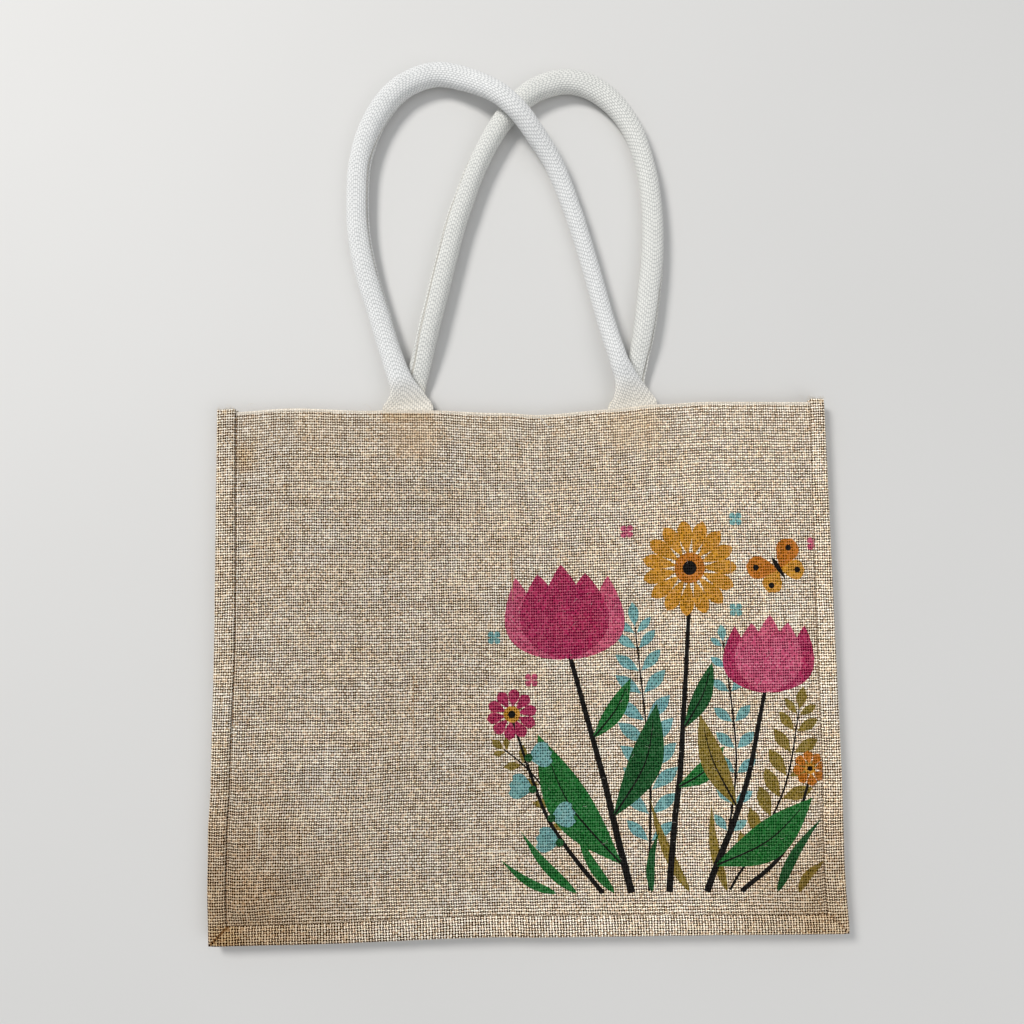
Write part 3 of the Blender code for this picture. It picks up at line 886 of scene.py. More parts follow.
def ribbon(points, start_width, end_width):
    """Outline of a stem that tapers along a curve."""
    line = curve_through(points)
    left, right = [], []
    for index, (x, y) in enumerate(line):
        behind, ahead = neighbours(line, index)
        run = math.dist(ahead, behind)
        across = ((behind[1] - ahead[1]) / run, (ahead[0] - behind[0]) / run)
        half = mix(start_width, end_width, index / (len(line) - 1)) / 2
        left.append((x + across[0] * half, y + across[1] * half))
        right.append((x - across[0] * half, y - across[1] * half))
    return left + right[::-1]


def petal(base, tip, width, fullness=0.6, bend=0.0, blunt=0.0):
    """Outline of a leaf or petal. fullness places its widest part between base and tip."""
    length = math.dist(base, tip)
    along = ((tip[0] - base[0]) / length, (tip[1] - base[1]) / length)
    count = max(7, round(length / 2.2))
    power = math.log(0.5) / math.log(fullness)
    sides = ([], [])
    for index in range(count + 1):
        t = index / count
        half = width / 2 * math.sin(math.pi * t ** power) ** mix(1.0, 0.55, blunt)
        sway = bend * math.sin(math.pi * t)
        for side, sign in zip(sides, (1, -1)):
            aside = sway + sign * half
            side.append((base[0] + along[0] * t * length - along[1] * aside,
                         base[1] + along[1] * t * length + along[0] * aside))
    return sides[0] + sides[1][-2:0:-1]


def disc(x, y, radius):
    count = max(10, round(radius * 3))
    return [turned(x, y, 2 * math.pi * k / count, radius) for k in range(count)]


def daisy(x, y, radius, petals, inks, start=0.0):
    """Rays of narrow petals about a button."""
    shapes = []
    for number in range(petals):
        angle = start + 2 * math.pi * number / petals
        base, tip = turned(x, y, angle, 0.22 * radius), turned(x, y, angle, radius)
        shapes.append((petal(base, tip, 4.6 * radius / petals, 0.68, blunt=0.7), inks[0]))
    return shapes + [(disc(x, y, 0.32 * radius), inks[1]), (disc(x, y, 0.15 * radius), inks[2])]


# A tulip's petals: tip aside and above, width, which of its inks
TULIP_PETALS = ((-0.50, 0.86, 0.42, 1), (0.50, 0.86, 0.42, 1), (0.0, 1.0, 0.46, 0),
                (-0.26, 0.90, 0.50, 0), (0.26, 0.90, 0.50, 0))


def tulip(x, y, width, height, lean, inks):
    """A cup of five petals seen from the side. x, y is its base."""
    shapes = []
    for aside, above, wide, ink in TULIP_PETALS:
        tip = (x + (aside * width + lean * above), y + above * height)
        base = (x + aside * 0.12 * width, y)
        shapes.append((petal(base, tip, wide * width, 0.46, -aside * 0.34 * width, 0.35), inks[ink]))
    return shapes


def sprig(points, leaflets, length, width, ink):
    """A curved stem with leaflets in pairs, the largest in the middle."""
    line = curve_through(points)
    shapes = [(ribbon(points, 1.8, 0.9), "black")]
    for number in range(leaflets):
        share = 0.22 + 0.74 * number / (leaflets - 1)
        index = round(share * (len(line) - 1))
        behind, ahead = neighbours(line, index)
        heading = math.atan2(ahead[1] - behind[1], ahead[0] - behind[0])
        size = length * (0.55 + 0.45 * math.sin(math.pi * share))
        for sign in (-1, 1):
            base = turned(*line[index], heading + sign * math.pi / 2, 0.8)
            tip = turned(*base, heading + sign * 0.85, size)
            shapes.append((petal(base, tip, width * size / length, 0.55), ink))
    tip = turned(*line[-1], heading, length * 0.7)
    return shapes + [(petal(line[-1], tip, width * 0.8, 0.55), ink)]


def bell_flower(x, y, size, angle, inks):
    """A small hanging bell with a scalloped mouth."""
    shapes = [(petal((x, y), turned(x, y, angle + spread, size), 0.52 * size, 0.66, blunt=0.6), inks[0])
              for spread in (-0.36, 0.36, 0.0)]
    return shapes + [(disc(*turned(x, y, angle, 0.06 * size), 0.16 * size), inks[1])]


def butterfly(x, y, span, heading, inks):
    """Four plain wings, a spot on each, and a body."""
    shapes = []
    for sign in (-1, 1):
        for ahead, reach, wide, ink in ((0.62, 0.50, 0.34, 0), (-0.55, 0.38, 0.30, 1)):
            angle = heading + sign * (ahead - math.pi / 2)
            tip = turned(x, y, angle, span * reach)
            shapes.append((petal((x, y), tip, span * wide, 0.66, blunt=0.8), inks[ink]))
            shapes.append((disc(*turned(x, y, angle, span * reach * 0.70), span * 0.045), inks[2]))
    tail, head = turned(x, y, heading + math.pi, span * 0.20), turned(x, y, heading, span * 0.22)
    return shapes + [(petal(tail, head, span * 0.075, 0.6), inks[2])]


def veined_leaf(base, tip, width, bend, ink):
    """A broad leaf with its black middle vein."""
    length = math.dist(base, tip)
    middle = ((base[0] + tip[0]) / 2 - (tip[1] - base[1]) / length * bend,
              (base[1] + tip[1]) / 2 + (tip[0] - base[0]) / length * bend)
    near_tip = (mix(middle[0], tip[0], 0.72), mix(middle[1], tip[1], 0.72))
    return [(petal(base, tip, width, 0.5, bend), ink),
            (ribbon((base, middle, near_tip), 1.5, 0.5), "black")]


# Sprigs of the print: lowest, middle and top point, pairs of leaflets, their length, width, ink
SPRIGS = (
    (((84, 30), (86, 110), (78, 212)), 10, 25, 9.5, "teal"),
    (((140, 30), (176, 92), (192, 152)), 8, 23, 9.5, "olive"),
    (((134, 40), (146, 120), (140, 200)), 8, 17, 7.5, "teal"),
    (((40, 60), (6, 108), (-16, 128)), 5, 15, 7.0, "olive"),
)

# Blades of grass: foot, tip, width. Their inks take turns.
BLADES = (
    ((34, 29), (-4, 72), 7), ((112, 29), (86, 92), 7), ((172, 29), (204, 78), 7), ((60, 29), (34, 74), 7),
    ((138, 29), (128, 90), 7), ((86, 29), (92, 70), 6), ((20, 29), (-18, 52), 6), ((186, 29), (208, 50), 6),
)
BLADE_INKS = ("green", "olive", "dark_green")

# Stems: lowest, middle and top point, widths low and high
STEMS = (
    (((72, 29), (54, 105), (31, 194)), 5.2, 3.0),
    (((98, 29), (109, 135), (117, 228)), 4.8, 2.6),
    (((124, 29), (151, 98), (169, 168)), 4.8, 2.6),
    (((52, 29), (15, 80), (-9, 146)), 3.4, 1.6),
    (((148, 29), (180, 60), (196, 104)), 3.4, 1.8),
)
BELL_STEM = 3

# Bell flowers: how far up their stem, and on which side
BELLS = ((0.34, -1), (0.48, 1), (0.62, -1), (0.78, 1))

# Broad leaves: base, tip, width, bend, ink
BROAD_LEAVES = (
    ((66, 48), (8, 138), 30, 8, "green"),
    ((60, 80), (92, 158), 23, -7, "dark_green"),
    ((130, 46), (198, 92), 26, -6, "green"),
    ((104, 100), (138, 128), 13, -4, "green"),
    ((146, 86), (122, 150), 17, 4, "olive"),
    ((110, 140), (132, 186), 13, -3, "dark_green"),
    ((46, 134), (74, 176), 13, -3, "green"),
)
STARS = ((-22, 206), (74, 280), (150, 222), (4, 176), (152, 286), (207, 268))
STAR_INKS = ("teal", "pink")


def star(x, y, ink):
    """Four short petals in a cross."""
    tips = (turned(x, y, math.pi / 4 + quarter * math.pi / 2, 5.5) for quarter in range(4))
    return [(petal((x, y), tip, 4.6, 0.62, blunt=0.6), ink) for tip in tips]


def printed_meadow():
    """The print: upright meadow flowers. Later shapes lie on earlier ones."""
    shapes = []
    for row in SPRIGS:
        shapes += sprig(*row)
    for number, (foot, tip, width) in enumerate(BLADES):
        shapes.append((petal(foot, tip, width, 0.35, 3.0), BLADE_INKS[number % 3]))
    for line, thick, thin in STEMS:
        shapes.append((ribbon(line, thick, thin), "black"))
    for row in BROAD_LEAVES:
        shapes += veined_leaf(*row)
    shapes += tulip(30, 190, 66, 68, -4, ("magenta", "pink"))
    shapes += tulip(170, 164, 50, 54, 4, ("pink", "magenta"))
    shapes += daisy(118, 252, 34, 15, ("yellow", "orange", "black"))
    shapes += daisy(-10, 152, 18, 10, ("magenta", "yellow", "black"), 0.2)
    hanging = curve_through(STEMS[BELL_STEM][0])
    for share, side in BELLS:
        x, y = hanging[round(share * (len(hanging) - 1))]
        shapes += bell_flower(x + side * 1.5, y, 18, math.pi / 2 - side * 1.35, ("teal", "dark_green"))
    shapes += daisy(197, 112, 12, 8, ("orange", "yellow", "black"), 0.1)
    shapes += butterfly(182, 250, 48, 2.1, ("orange", "yellow", "black"))
    for number, (x, y) in enumerate(STARS):
        shapes += star(x, y, STAR_INKS[number % 2])
    return shapes


# Edge bindings

BINDING_ROUND = 1.7
SECTION_ARC_STEPS = 10
STRIP_STEP = 3.6
STRIP_ROWS = 7
BASE_WEAVE_SHIFT = 300.0

# Small rises of a strip's outer face: size, seed, height, and the share that stays above zero
STRIP_LUMPS = ((17.0, 4.0, 0.22, 1.0), (4.0, 9.0, 0.08, 0.0))
INNER_DIP = 0.4
INNER_DIP_WIDTH = 0.9
PRESSED_WEIGHTS = (0.40, 0.75)
MITRE_DENT = 0.55
MITRE_WIDTH = 1.6
MITRE_REACH = BASE_BINDING + 2
RIGHT_DENT_SHARE = 0.6


def strip_width(edge, place):
    return along_table(STRIP_WIDTHS[edge], place)


def binding_section(width, low, high):
    """(distance in from the edge, height) round the folded strip, inner edge to inner edge."""
    centre = CLOTH / 2 + BINDING_ROUND
    section = [(mix(width, centre, k / STRIP_ROWS), high) for k in range(STRIP_ROWS)]
    for k in range(SECTION_ARC_STEPS + 1):
        angle = math.pi * k / SECTION_ARC_STEPS
        height = (low + high) / 2 + (high - low) / 2 * math.cos(angle)
        section.append((centre - BINDING_ROUND * math.sin(angle), height))
    return section + [(mix(centre, width, k / STRIP_ROWS), low) for k in range(1, STRIP_ROWS + 1)]


def strip_stations():
    """Places along the three edges: (edge, share of that edge), corner places given once."""
    stations = []
    for edge, length in (("left", BINDING_TOP), ("base", BAG_WIDTH), ("right", BINDING_TOP)):
        count = round(length / STRIP_STEP)
        first = 0 if edge == "left" else 1
        stations += [(edge, k / count) for k in range(first, count + 1)]
    return stations


def strip_place(edge, share, inset, base_inset):
    """The point of the flat edge frame at a share along an edge and a distance in from it."""
    if edge == "left":
        return inset - HALF_WIDTH, mix(BINDING_TOP, base_inset, share)
    if edge == "base":
        return mix(inset - HALF_WIDTH, HALF_WIDTH - inset, share), base_inset
    return HALF_WIDTH - inset, mix(base_inset, BINDING_TOP, share)


def edge_widths(edge, share):
    """Widths of the side strip and the base strip that a station's section is made from."""
    if edge == "base":
        side = mix(strip_width("left", 0), strip_width("right", 0), share)
        return side, strip_width("base", mix(-HALF_WIDTH, HALF_WIDTH, share))
    from_base, corner = (1.0 - share, -HALF_WIDTH) if edge == "left" else (share, HALF_WIDTH)
    return strip_width(edge, BINDING_TOP * from_base), strip_width("base", corner)


def strip_lift(x, y, from_inner):
    """Small rises and dents of a strip's outer face, its sewn inner edge and its mitre fold."""
    side = HALF_WIDTH - abs(x)
    lift = sum(height * (above + unevenness(x, y, size, seed)) for size, seed, height, above in STRIP_LUMPS)
    if side < MITRE_REACH and y < MITRE_REACH:
        depth = MITRE_DENT * (1.0 if x < 0 else RIGHT_DENT_SHARE)
        lift -= depth * bell((side - y * SIDE_BINDING / BASE_BINDING) / MITRE_WIDTH)
    return lift - INNER_DIP * bell(from_inner / INNER_DIP_WIDTH)


def press_edges(piece, count):
    """Thin a strip towards its two long edges, where the seam presses it down."""
    group = piece.vertex_groups.new(name="body")
    for index in range(len(piece.data.vertices)):
        from_edge = min(index % count, count - 1 - index % count)
        weight = PRESSED_WEIGHTS[from_edge] if from_edge < len(PRESSED_WEIGHTS) else 1.0
        group.add([index], weight, "REPLACE")
    piece.modifiers[0].vertex_group = "body"


def binding_piece(name, node, low, high, finish, shaped):
    """A jute strip folded over three edges of a panel, with mitred lower corners."""
    strip = bmesh.new()
    cloth = strip.loops.layers.float_vector.new("cloth")
    outer = (low + high) / 2 + 1.0
    rows = []
    for edge, share in strip_stations():
        side_width, base_width = edge_widths(edge, share)
        side_section = binding_section(side_width, low, high)
        base_section = binding_section(base_width, low, high)
        row, arc, last = [], 0.0, side_section[0]
        for (inset, z), (base_inset, _) in zip(side_section, base_section):
            x, y = strip_place(edge, share, inset, base_inset)
            arc += math.dist(last, (inset, z))
            last = (inset, z)
            from_inner = base_width - base_inset if edge == "base" else side_width - inset
            lift = strip_lift(x, y, from_inner) if shaped and z > outer else 0.0
            row.append((strip.verts.new(laid(x, y, z + lift)), arc, x, y))
        rows.append((edge, row))
    for (_, row), (edge, following) in zip(rows, rows[1:]):
        for corners in zip(row, following, following[1:], row[1:]):
            face = strip.faces.new([corner[0] for corner in corners])
            for loop, (_, arc, x, y) in zip(face.loops, corners):
                loop[cloth] = (arc + BASE_WEAVE_SHIFT, x, 0.0) if edge == "base" else (arc, y, 0.0)
    mesh = bpy.data.meshes.new(name)
    bmesh.ops.recalc_face_normals(strip, faces=strip.faces)
    strip.to_mesh(mesh)
    strip.free()
    piece = add_piece(name, mesh, [finish], "jute_binding", node)
    thicken(piece)
    press_edges(piece, len(rows[0][1]))
    size = ((2 * SIDE_BINDING + high - low) * MM, (2 * BINDING_TOP + BAG_WIDTH) * MM)


def add_bindings(finish):
    for side, lowest, shaped in (("front", 4 * PITCH, True), ("back", 0.0, False)):
        low = lowest + CLOTH / 2
        binding_piece(side + "_binding_strip", side + "_binding", low, low + 3 * PITCH, finish, shaped)


# Gussets

TUCK = 22.0
BASE_FOLD = FOLD - PITCH
BASE_LEAF = 4 * PITCH
FULL_ROOM = 4 * PITCH + GAP
GUSSET_GRID = 4.6
CREASE_GRID = 0.7
CREASE_REACH = 5.6
TURN_WIDTH = 2.6


def between_faces(low, high):
    """The middle height between two leaves, and half their distance."""
    return (low + high) / 2, (high - low) / 2


def side_leaves(x, y):
    """The same for the side gusset's two leaves."""
    sewn = in_binding(HALF_WIDTH - abs(x), y)
    step = PITCH * (1.0 + at_hem(y) * (1.0 - sewn))
    return between_faces(PITCH * sewn + step + CLOTH / 2, front_panel_height(x, y) - step + CLOTH / 2)


def tuck_leaves(x, y):
    """The same for the turned corner, which lies between the side gusset's leaves."""
    middle, half = side_leaves(x, y)
    room = 2 * half - CLOTH
    return middle, half - CLOTH / 2 - room * (GAP + PITCH) / 2 / FULL_ROOM


def base_leaves(x, y):
    """The same for the base gusset's two leaves."""
    sewn = in_base_strip(y)
    low = mix(PITCH * (1.0 + 2.0 * over_tuck(HALF_WIDTH - abs(x), y)), 2 * PITCH, sewn)
    return between_faces(low + CLOTH / 2, mix(BASE_LEAF, 5 * PITCH, sewn) + CLOTH / 2)


def crease_turn(away, half):
    """Round a fold: how far a point is drawn back from the crease, and its share of the height."""
    quarter = math.pi * half / 2
    if away >= quarter:
        return half + away - quarter, 1.0
    return half * (1.0 - math.cos(away / half)), math.sin(away / half)


def side_gusset_place(hand):
    """Folds the flat side gusset: in half along its middle, with its lower corner turned back."""
    def place(s, t):
        far, low = FOLD - abs(s), TUCK + t
        beyond = (low - far) / ROOT_TWO
        turned_back = fall(beyond / TURN_WIDTH + 0.5)
        side, y = (far, low) if beyond >= 0 else (low, far)
        x = hand * (HALF_WIDTH - side)
        middle, half = (mix(plain, tucked, turned_back)
                        for plain, tucked in zip(side_leaves(x, y), tuck_leaves(x, y)))
        back, share = crease_turn(abs(s), half)
        drawn = FOLD - CLOTH / 2 - back
        side, y = (drawn, low) if beyond >= 0 else (low, drawn)
        return laid(hand * (HALF_WIDTH - side), y, middle + math.copysign(half * share, s))
    return place


def base_gusset_place(t, s):
    """Folds the flat base gusset in half along its middle."""
    middle, half = base_leaves(t, BASE_FOLD - abs(s))
    back, share = crease_turn(abs(s), half)
    return laid(t, BASE_FOLD - CLOTH / 2 - back, middle + math.copysign(half * share, s))


def across_crease(half_width):
    """Places across a folded strip, close together at its crease."""
    outer = steps(-half_width, -CREASE_REACH, GUSSET_GRID)
    return outer[:-1] + steps(-CREASE_REACH, CREASE_REACH, CREASE_GRID) + [-s for s in outer[-2::-1]]


def gusset_piece(node, rows, columns, place, finish):
    """A folded strip from a grid of flat places."""
    name = node + "_cloth"
    flat = [(u, v, 0.0) for v in rows for u in columns]
    count = len(columns)
    faces = [(low, low + 1, low + count + 1, low + count)
             for low in range(count * (len(rows) - 1)) if (low + 1) % count]
    mesh = new_mesh(name, [place(u, v) for u, v, _ in flat], faces, flat)
    piece = add_piece(name, mesh, [finish], "jute_side", node)
    thicken(piece)
    size = ((columns[-1] - columns[0]) * MM, (rows[-1] - rows[0]) * MM)


def add_gussets(finish):
    across = across_crease(FOLD - PITCH)
    along = steps(0.0, HEM_TOP - TUCK, GUSSET_GRID)
    for node, hand in (("side_gusset_left", -1), ("side_gusset_right", 1)):
        gusset_piece(node, along, across, side_gusset_place(hand), finish)
    across = across_crease(BASE_FOLD - PITCH)
    along = steps(TUCK - HALF_WIDTH, HALF_WIDTH - TUCK, GUSSET_GRID)
    gusset_piece("base_gusset", across, along, base_gusset_place, finish)


# Handle routes from tab to tab: x, y, width, z, height. A row that ends early takes the rope's own.

def flat_tab(x, z):
    return tuple((x, y, TAB_WIDTH, z, TAB_THICK) for y in TAB_ROWS)


ROPE_ROW = (0, 0, ROPE_WIDTH, ROPE_Z, ROPE_HEIGHT)
FRONT_ROUTE = flat_tab(-TAB_CENTRE, FRONT_TAB_Z) + (
    (-82.5, 371, 37.5, FRONT_TAB_Z, TAB_THICK),
    (-83.6, 377, 32, 8.6, 3.8),
    (-83.6, 384, 22.5, 10.6, 7.0),
    (-87.3, 393, 17.5, 12.0, 11),
    (-95, 415, 16, 8.8),
    (-104, 445, 16),
    (-113, 476),
    (-118, 504),
    (-119, 532),
    (-117, 560),
    (-109, 587, 17),
    (-95, 609.5, 17.5),
    (-79, 622, 17.5),
    (-59, 627.5, 17.5),
    (-39, 621.8, 17),
    (-18, 609, 15.6),
    (-1.2, 593.8, 15),
    (12.6, 577.5, 15),
    (28, 555, 14.3),
    (40, 524, 13.5),
    (49.5, 492, 13),
    (57.5, 461, 13),
    (64.8, 431, 13, 8.5),
    (71.5, 405, 13.5, 13.2, 12),
    (76.8, 391, 17, 12.4, 9.6),
    (80, 382, 24, 10.0, 6.0),
    (81.4, 376, 31, 8.4, 3.6),
    (81.8, 371, 36, FRONT_TAB_Z, TAB_THICK),
) + flat_tab(TAB_CENTRE, FRONT_TAB_Z)[::-1]
BACK_ROUTE = flat_tab(-TAB_CENTRE, BACK_TAB_Z) + (
    (-82.5, 371, 36, BACK_TAB_Z, TAB_THICK),
    (-82, 377, 28, 4.1, 3.2),
    (-79, 387, 19, 3.7, 5.4),
    (-73.5, 403, 15.8, 5.0, 9.4),
    (-67.3, 429, 15.6),
    (-60.2, 457, 16),
    (-53.4, 484, 16),
    (-46.8, 508, 15.6),
    (-38.8, 531, 15),
    (-30, 554, 14.6),
    (-19, 576, 15),
    (-8, 593, 16),
    (8, 610, 17),
    (24, 618.5, 17.6),
    (42, 621, 17.6),
    (60, 615, 17.4),
    (76, 601, 16.4),
    (88, 582, 15),
    (95.5, 559, 14.4),
    (99.6, 535, 14.8),
    (100.8, 508, 15.6),
    (99.6, 482, 16.2),
    (96, 454),
    (91.8, 427, 15.8, 6.2, 12.4),
    (87.2, 405, 14.6, 4.6, 8.8),
    (84, 391, 15.5, 3.9, 5.8),
    (82.5, 382, 20, 4.0, 4.2),
    (82, 376, 28, 4.2, 3.0),
    (81.8, 371, 35, BACK_TAB_Z, TAB_THICK),
) + flat_tab(TAB_CENTRE, BACK_TAB_Z)[::-1]

# Where the sewn seam lies round the rope: distance along it, angle from its right side
BACK_SEAM = ((60, 118), (90, 128), (150, 136), (215, 152), (260, 186), (470, 186), (530, 152),
             (600, 138), (680, 130), (720, 118))
FRONT_SEAM = ((70, -30), (110, 4), (150, 18), (225, 24), (270, -12), (330, -50), (800, -50))

ROPE_SIDES = 64
ROPE_STEP = 1.6
TURN_REACH = 12
SEAM_DEPTH = 1.0
SEAM_WIDTH = 0.085
LIP_HEIGHT = 0.45
LIP_WIDTH = 0.20
LIP_OFFSET = 0.26
ROPE_LUMPS = 0.16


def rounded_part(part, power, size):
    """A sine or cosine drawn out towards the side of a box of the given size."""
    return math.copysign(abs(part) ** power, part) * size / 2


def webbing_ring(station, tangent, seam, travelled, seed):
    """Corners of one section and how deep in the seam's groove each lies."""
    x, y, width, z, height = station
    centre = Vector((x, y, z))
    across = tangent.cross(Vector((0, 0, 1))).normalized()
    upward = across.cross(tangent).normalized()
    flatness = min(max((width - ROPE_WIDTH) / (TAB_WIDTH - ROPE_WIDTH), 0.0), 1.0)
    power = 2.0 / (2.2 + 3.0 * flatness)
    rope = fall(flatness * 2.2)
    lip_side = 1.0 if math.cos(seam) < 0 else -1.0
    corners = []
    for corner in range(ROPE_SIDES):
        angle = 2 * math.pi * (corner + 0.5) / ROPE_SIDES
        outward = (across * rounded_part(math.cos(angle), power, width)
                   + upward * rounded_part(math.sin(angle), power, height))
        turn = (angle - seam + math.pi) % (2 * math.pi) - math.pi
        groove = bell(turn / SEAM_WIDTH) * rope
        lip = bell((turn - lip_side * LIP_OFFSET) / LIP_WIDTH) * rope
        lumps = ROPE_LUMPS * unevenness(travelled, angle * 6.0, 7.0, seed) * (1.0 - flatness)
        push = lip * LIP_HEIGHT - groove * SEAM_DEPTH + lumps
        corners.append((centre + outward + outward.normalized() * push, groove))
    return corners


def ring_arcs(corners, top):
    """Each corner's distance round the section from its top, signed by side."""
    count = len(corners)
    arcs = [0.0] * count
    for sign in (1, -1):
        total = 0.0
        for step in range(1, count // 2 + 1):
            here = (top + sign * step) % count
            total += (corners[here] - corners[(here - sign) % count]).length
            arcs[here] = sign * total
    return arcs


def handle_piece(name, node, rows, lift, seam, finish):
    """Rolled webbing along its route, opened into a flat tab at each end."""
    stations = curve_through([row + ROPE_ROW[len(row):] for row in rows], ROPE_STEP, 1)
    # Where one handle lies over the other, it is raised in a long low hump
    stations = [(x, y, width, z + lift * bell(math.dist((x, y), CROSSING) / CROSSING_REACH), height)
                for x, y, width, z, height in stations]
    places = [Vector((x, y, z)) for x, y, _, z, _ in stations]
    vertices, cloth = [], []
    travelled = 0.0
    for index, station in enumerate(stations):
        travelled += (places[index] - places[max(index - 1, 0)]).length
        # Headings are taken over a few stations, so that wide sections never cross
        behind, ahead = neighbours(places, index, TURN_REACH)
        angle = math.radians(along_table(seam, travelled))
        ring = webbing_ring(station, (ahead - behind).normalized(), angle, travelled, len(name))
        arcs = ring_arcs([corner for corner, _ in ring], ROPE_SIDES // 4)
        for (corner, groove), arc in zip(ring, arcs):
            vertices.append(to_scene(*corner))
            cloth.append((arc, travelled, groove))
    mesh = new_mesh(name, vertices, tube_faces(0, len(stations), ROPE_SIDES), cloth)
    add_piece(name, mesh, [finish], "cotton_webbing", node)


# Threads and fibres

def strands_piece(name, strands, sides, finish, slot):
    """Many thin tapering strands in one mesh. A strand is (points in metres, radius in mm)."""
    vertices, faces = [], []
    for points, radius in strands:
        places = [Vector(point) for point in points]
        faces += tube_faces(len(vertices), len(places), sides)
        for index, place in enumerate(places):
            behind, ahead = neighbours(places, index)
            tangent = (ahead - behind).normalized()
            helper = Vector((0, 0, 1)) if abs(tangent.z) < 0.9 else Vector((1, 0, 0))
            across = tangent.cross(helper).normalized()
            upward = across.cross(tangent)
            share = min(max(index / (len(places) - 1), 0.04), 0.96)
            size = radius * MM * (0.35 + 0.65 * math.sin(math.pi * share) ** 0.5)
            for side in range(sides):
                angle = 2 * math.pi * side / sides
                vertices.append(place + (across * math.cos(angle) + upward * math.sin(angle)) * size)
    add_piece(name, new_mesh(name, vertices, faces), [finish], slot)


STITCH_LENGTH = 3.4
STITCH_GAP = 0.9
STITCH_RADIUS = 0.21
STITCH_POINTS = 5
STITCH_SINK = 0.42
STITCH_ABOVE = 0.2

# Seams beside the strips: edge, where it starts and ends along that edge, thread
SEAMS = (("left", 15.0, 367.0, "dark_thread"), ("right", 15.0, 367.0, "thread"),
         ("base", -204.0, 204.0, "thread"))
SEAM_PAST = 0.35
SEAM_RUN = 22.0


def stitch_line(start, end, seed):
    """Stitches along a straight seam of the front, their ends sunk in the cloth."""
    rng = random.Random(seed)
    length = math.dist(start, end)
    strands = []
    place = 1.0
    while place < length - STITCH_LENGTH:
        points = []
        shift = rng.uniform(-0.12, 0.12)
        for k in range(STITCH_POINTS):
            along = k / (STITCH_POINTS - 1)
            share = (place + STITCH_LENGTH * along) / length
            x, y = mix(start[0], end[0], share), mix(start[1], end[1], share)
            dip = STITCH_SINK * (1.0 - math.sin(math.pi * (0.08 + 0.84 * along)))
            points.append(laid(x + shift, y + shift, front_top(x, y) + STITCH_ABOVE - dip))
        strands.append((points, STITCH_RADIUS))
        place += STITCH_LENGTH + STITCH_GAP + rng.uniform(-0.2, 0.2)
    return strands


def seam_place(edge, place):
    """A point of the seam beside a strip's inner edge."""
    width = strip_width(edge, place) + SEAM_PAST
    if edge == "base":
        return place, width
    return (width - HALF_WIDTH if edge == "left" else HALF_WIDTH - width), place


def add_stitches(materials):
    for edge, low, high, finish in SEAMS:
        strands = []
        places = [seam_place(edge, place) for place in steps(low, high, SEAM_RUN)]
        for number, (start, stop) in enumerate(zip(places, places[1:])):
            strands += stitch_line(start, stop, number)
        strands_piece(edge + "_stitches", strands, 5, materials[finish], "jute_binding")


# Loose hairs: where they leave the bag in bag millimetres, heading in degrees, length, curl
LOOSE_HAIRS = (
    ((-215.4, 376.0, 9.0), 40, 14, -0.26), ((-214.0, 372.5, 8.0), 128, 7, 0.12),
    ((-199.0, 374.0, 9.5), 70, 8, -0.20), ((-217.0, 371.0, 8.0), 150, 5, -0.15),
    ((-108.0, 371.0, 9.5), 108, 9, 0.10), ((-100.0, 371.0, 9.5), 60, 6, 0.22),
    ((-168.2, 1.2, 5.0), -55, 9, 0.10), ((-164.8, 0.5, 7.0), -80, 6, -0.16),
    ((-84.6, 1.4, 6.0), -60, 7, -0.12), ((-221.0, 180.0, 6.0), 200, 5, 0.2),
    ((-221.6, 96.0, 6.0), 165, 6, -0.2), ((-222.0, 71.0, 5.0), 190, 5, 0.1),
    ((219.6, 251.0, 7.0), 20, 6, -0.1), ((219.0, 120.0, 7.0), -12, 5, 0.2),
    ((30.0, 2.2, 6.0), -70, 6, 0.2), ((150.0, 1.2, 6.0), -100, 5, -0.2),
    ((205.0, 372.5, 9.5), 62, 6, 0.2), ((12.0, 366.0, 10.2), 84, 6, -0.18),
)

# Thick and coloured places of single yarns: start, end, radius, material
SLUBS = (
    ((-8.5, 232.0), (-8.9, 271.0), 0.42, "slub"),
    ((-79.0, 122.0), (-79.4, 190.0), 0.30, "slub"),
    ((147.0, 236.0), (147.4, 268.0), 0.30, "slub"),
    ((120.0, 327.0), (133.0, 327.3), 0.42, "fibre"),
    ((-150.0, 318.0), (-128.0, 318.2), 0.30, "fibre"),
    ((52.0, 342.0), (70.0, 342.0), 0.30, "fibre"),
    ((-184.0, 60.0), (-184.2, 88.0), 0.30, "fibre"),
    ((-30.0, 58.0), (-8.0, 58.4), 0.32, "fibre"),
)
STRAY_THREAD = ((11.1, 368.2), (14.7, 366.7), (17.5, 362.3), (21.1, 360.0), (23.3, 362.2))
STRAY_RADIUS = 0.26
HAIR_RADIUS = 0.075
FUZZ_RADIUS = 0.06
TOP_FUZZ = 1100
EDGE_FUZZ = 1500
SURFACE_FUZZ = 420
STRIP_END_FUZZ = 70
FIBRE_SEED = 41


def hair(start, heading, length, curl, rng, pieces=3):
    """Points of a loose fibre that curls as it leaves the cloth, in metres."""
    x, y, z = start
    points = [to_scene(x, y, z)]
    step = length / pieces
    for _ in range(pieces):
        heading += curl + rng.uniform(-0.22, 0.22)
        x, y = turned(x, y, heading, step)
        z = max(z + rng.uniform(-0.25, 0.25) * step, 0.3)
        points.append(to_scene(x, y, z))
    return points


